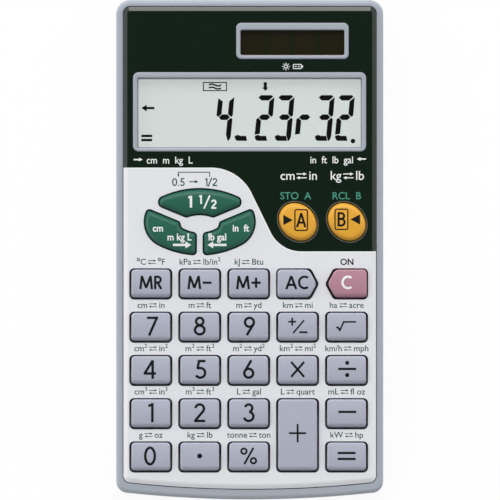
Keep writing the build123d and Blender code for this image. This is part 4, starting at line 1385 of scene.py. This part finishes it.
class CALCULATOR_OT_inside(CalculatorOperator, bpy.types.Operator):
    """Finishes everything inside the closed case"""

    bl_idname = "calculator.inside"
    bl_label = "Inside"

    def execute(self, context):
        # Glass-epoxy laminate under green solder mask: deep green and half glossy, with a faint weave
        mask = moulded("solder_masked_laminate", linear("1F5A38"), grain=0.8, depth=0.1, rough=0.35)
        dress("circuit_board", mask)
        # Cast black epoxy over the chip: smooth and rounded
        dress("chip_cover", moulded("cast_black_epoxy", linear("141414"), grain=1.0, depth=0.1, rough=0.25))
        # Fired ceramic chips
        dress("board_parts", moulded("fired_ceramic", linear("8C7A5E"), grain=0.3, depth=0.06, rough=0.5))
        # Drawn nickel silver can
        dress("crystal", metal("drawn_nickel_silver", linear("C4C2BA")))
        # Nickel-plated steel cell and its bronze springs
        dress("coin_cell", metal("nickel_plated_steel", linear("C8C8C6"), rough=0.25))
        bronze = metal("phosphor_bronze_strip", linear("B79B6A"), rough=0.32)
        dress("coin_contact_lower", bronze)
        dress("coin_contact_upper", bronze)
        dress("board_screws", metal("passivated_steel", linear("A9ABAD")))
        # PVC-covered leads
        dress("solar_leads", moulded("pvc_lead_jacket", linear("7A1F1C"), grain=0.6, depth=0.05, rough=0.4))
        return {"FINISHED"}


OPERATORS = [
    CALCULATOR_OT_camera,
    CALCULATOR_OT_stage,
    CALCULATOR_OT_case,
    CALCULATOR_OT_face_plate,
    CALCULATOR_OT_crowned_keys,
    CALCULATOR_OT_shaped_keys,
    CALCULATOR_OT_plate_print,
    CALCULATOR_OT_display,
    CALCULATOR_OT_solar_window,
    CALCULATOR_OT_keypad,
    CALCULATOR_OT_inside,
]


class CALCULATOR_PT_panel(bpy.types.Panel):
    """Lists the steps, sizes and colours in the sidebar"""

    bl_idname = "CALCULATOR_PT_panel"
    bl_label = "Calculator"
    bl_space_type = "VIEW_3D"
    bl_region_type = "UI"
    bl_category = "Calculator"

    def draw(self, context):
        for step in OPERATORS:
            self.layout.operator(step.bl_idname, text=step.bl_label)
        for group in (context.scene.calculator_sizes, context.scene.calculator_colours):
            box = self.layout.box()
            for name in group.__annotations__:
                box.prop(group, name)


CLASSES = [CalculatorSizes, CalculatorColours, *OPERATORS, CALCULATOR_PT_panel]


def register():
    for entry in CLASSES:
        bpy.utils.register_class(entry)
    bpy.types.Scene.calculator_sizes = bpy.props.PointerProperty(type=CalculatorSizes)
    bpy.types.Scene.calculator_colours = bpy.props.PointerProperty(type=CalculatorColours)


def unregister():
    del bpy.types.Scene.calculator_colours
    del bpy.types.Scene.calculator_sizes
    for entry in reversed(CLASSES):
        bpy.utils.unregister_class(entry)


def main():
    register()
    bpy.ops.calculator.camera()
    bpy.ops.calculator.stage()
    bpy.ops.calculator.case()
    bpy.ops.calculator.face_plate()
    bpy.ops.calculator.crowned_keys()
    bpy.ops.calculator.shaped_keys()
    bpy.ops.calculator.plate_print()
    bpy.ops.calculator.display()
    bpy.ops.calculator.solar_window()
    bpy.ops.calculator.keypad()
    bpy.ops.calculator.inside()


if __name__ == "__main__":
    main()
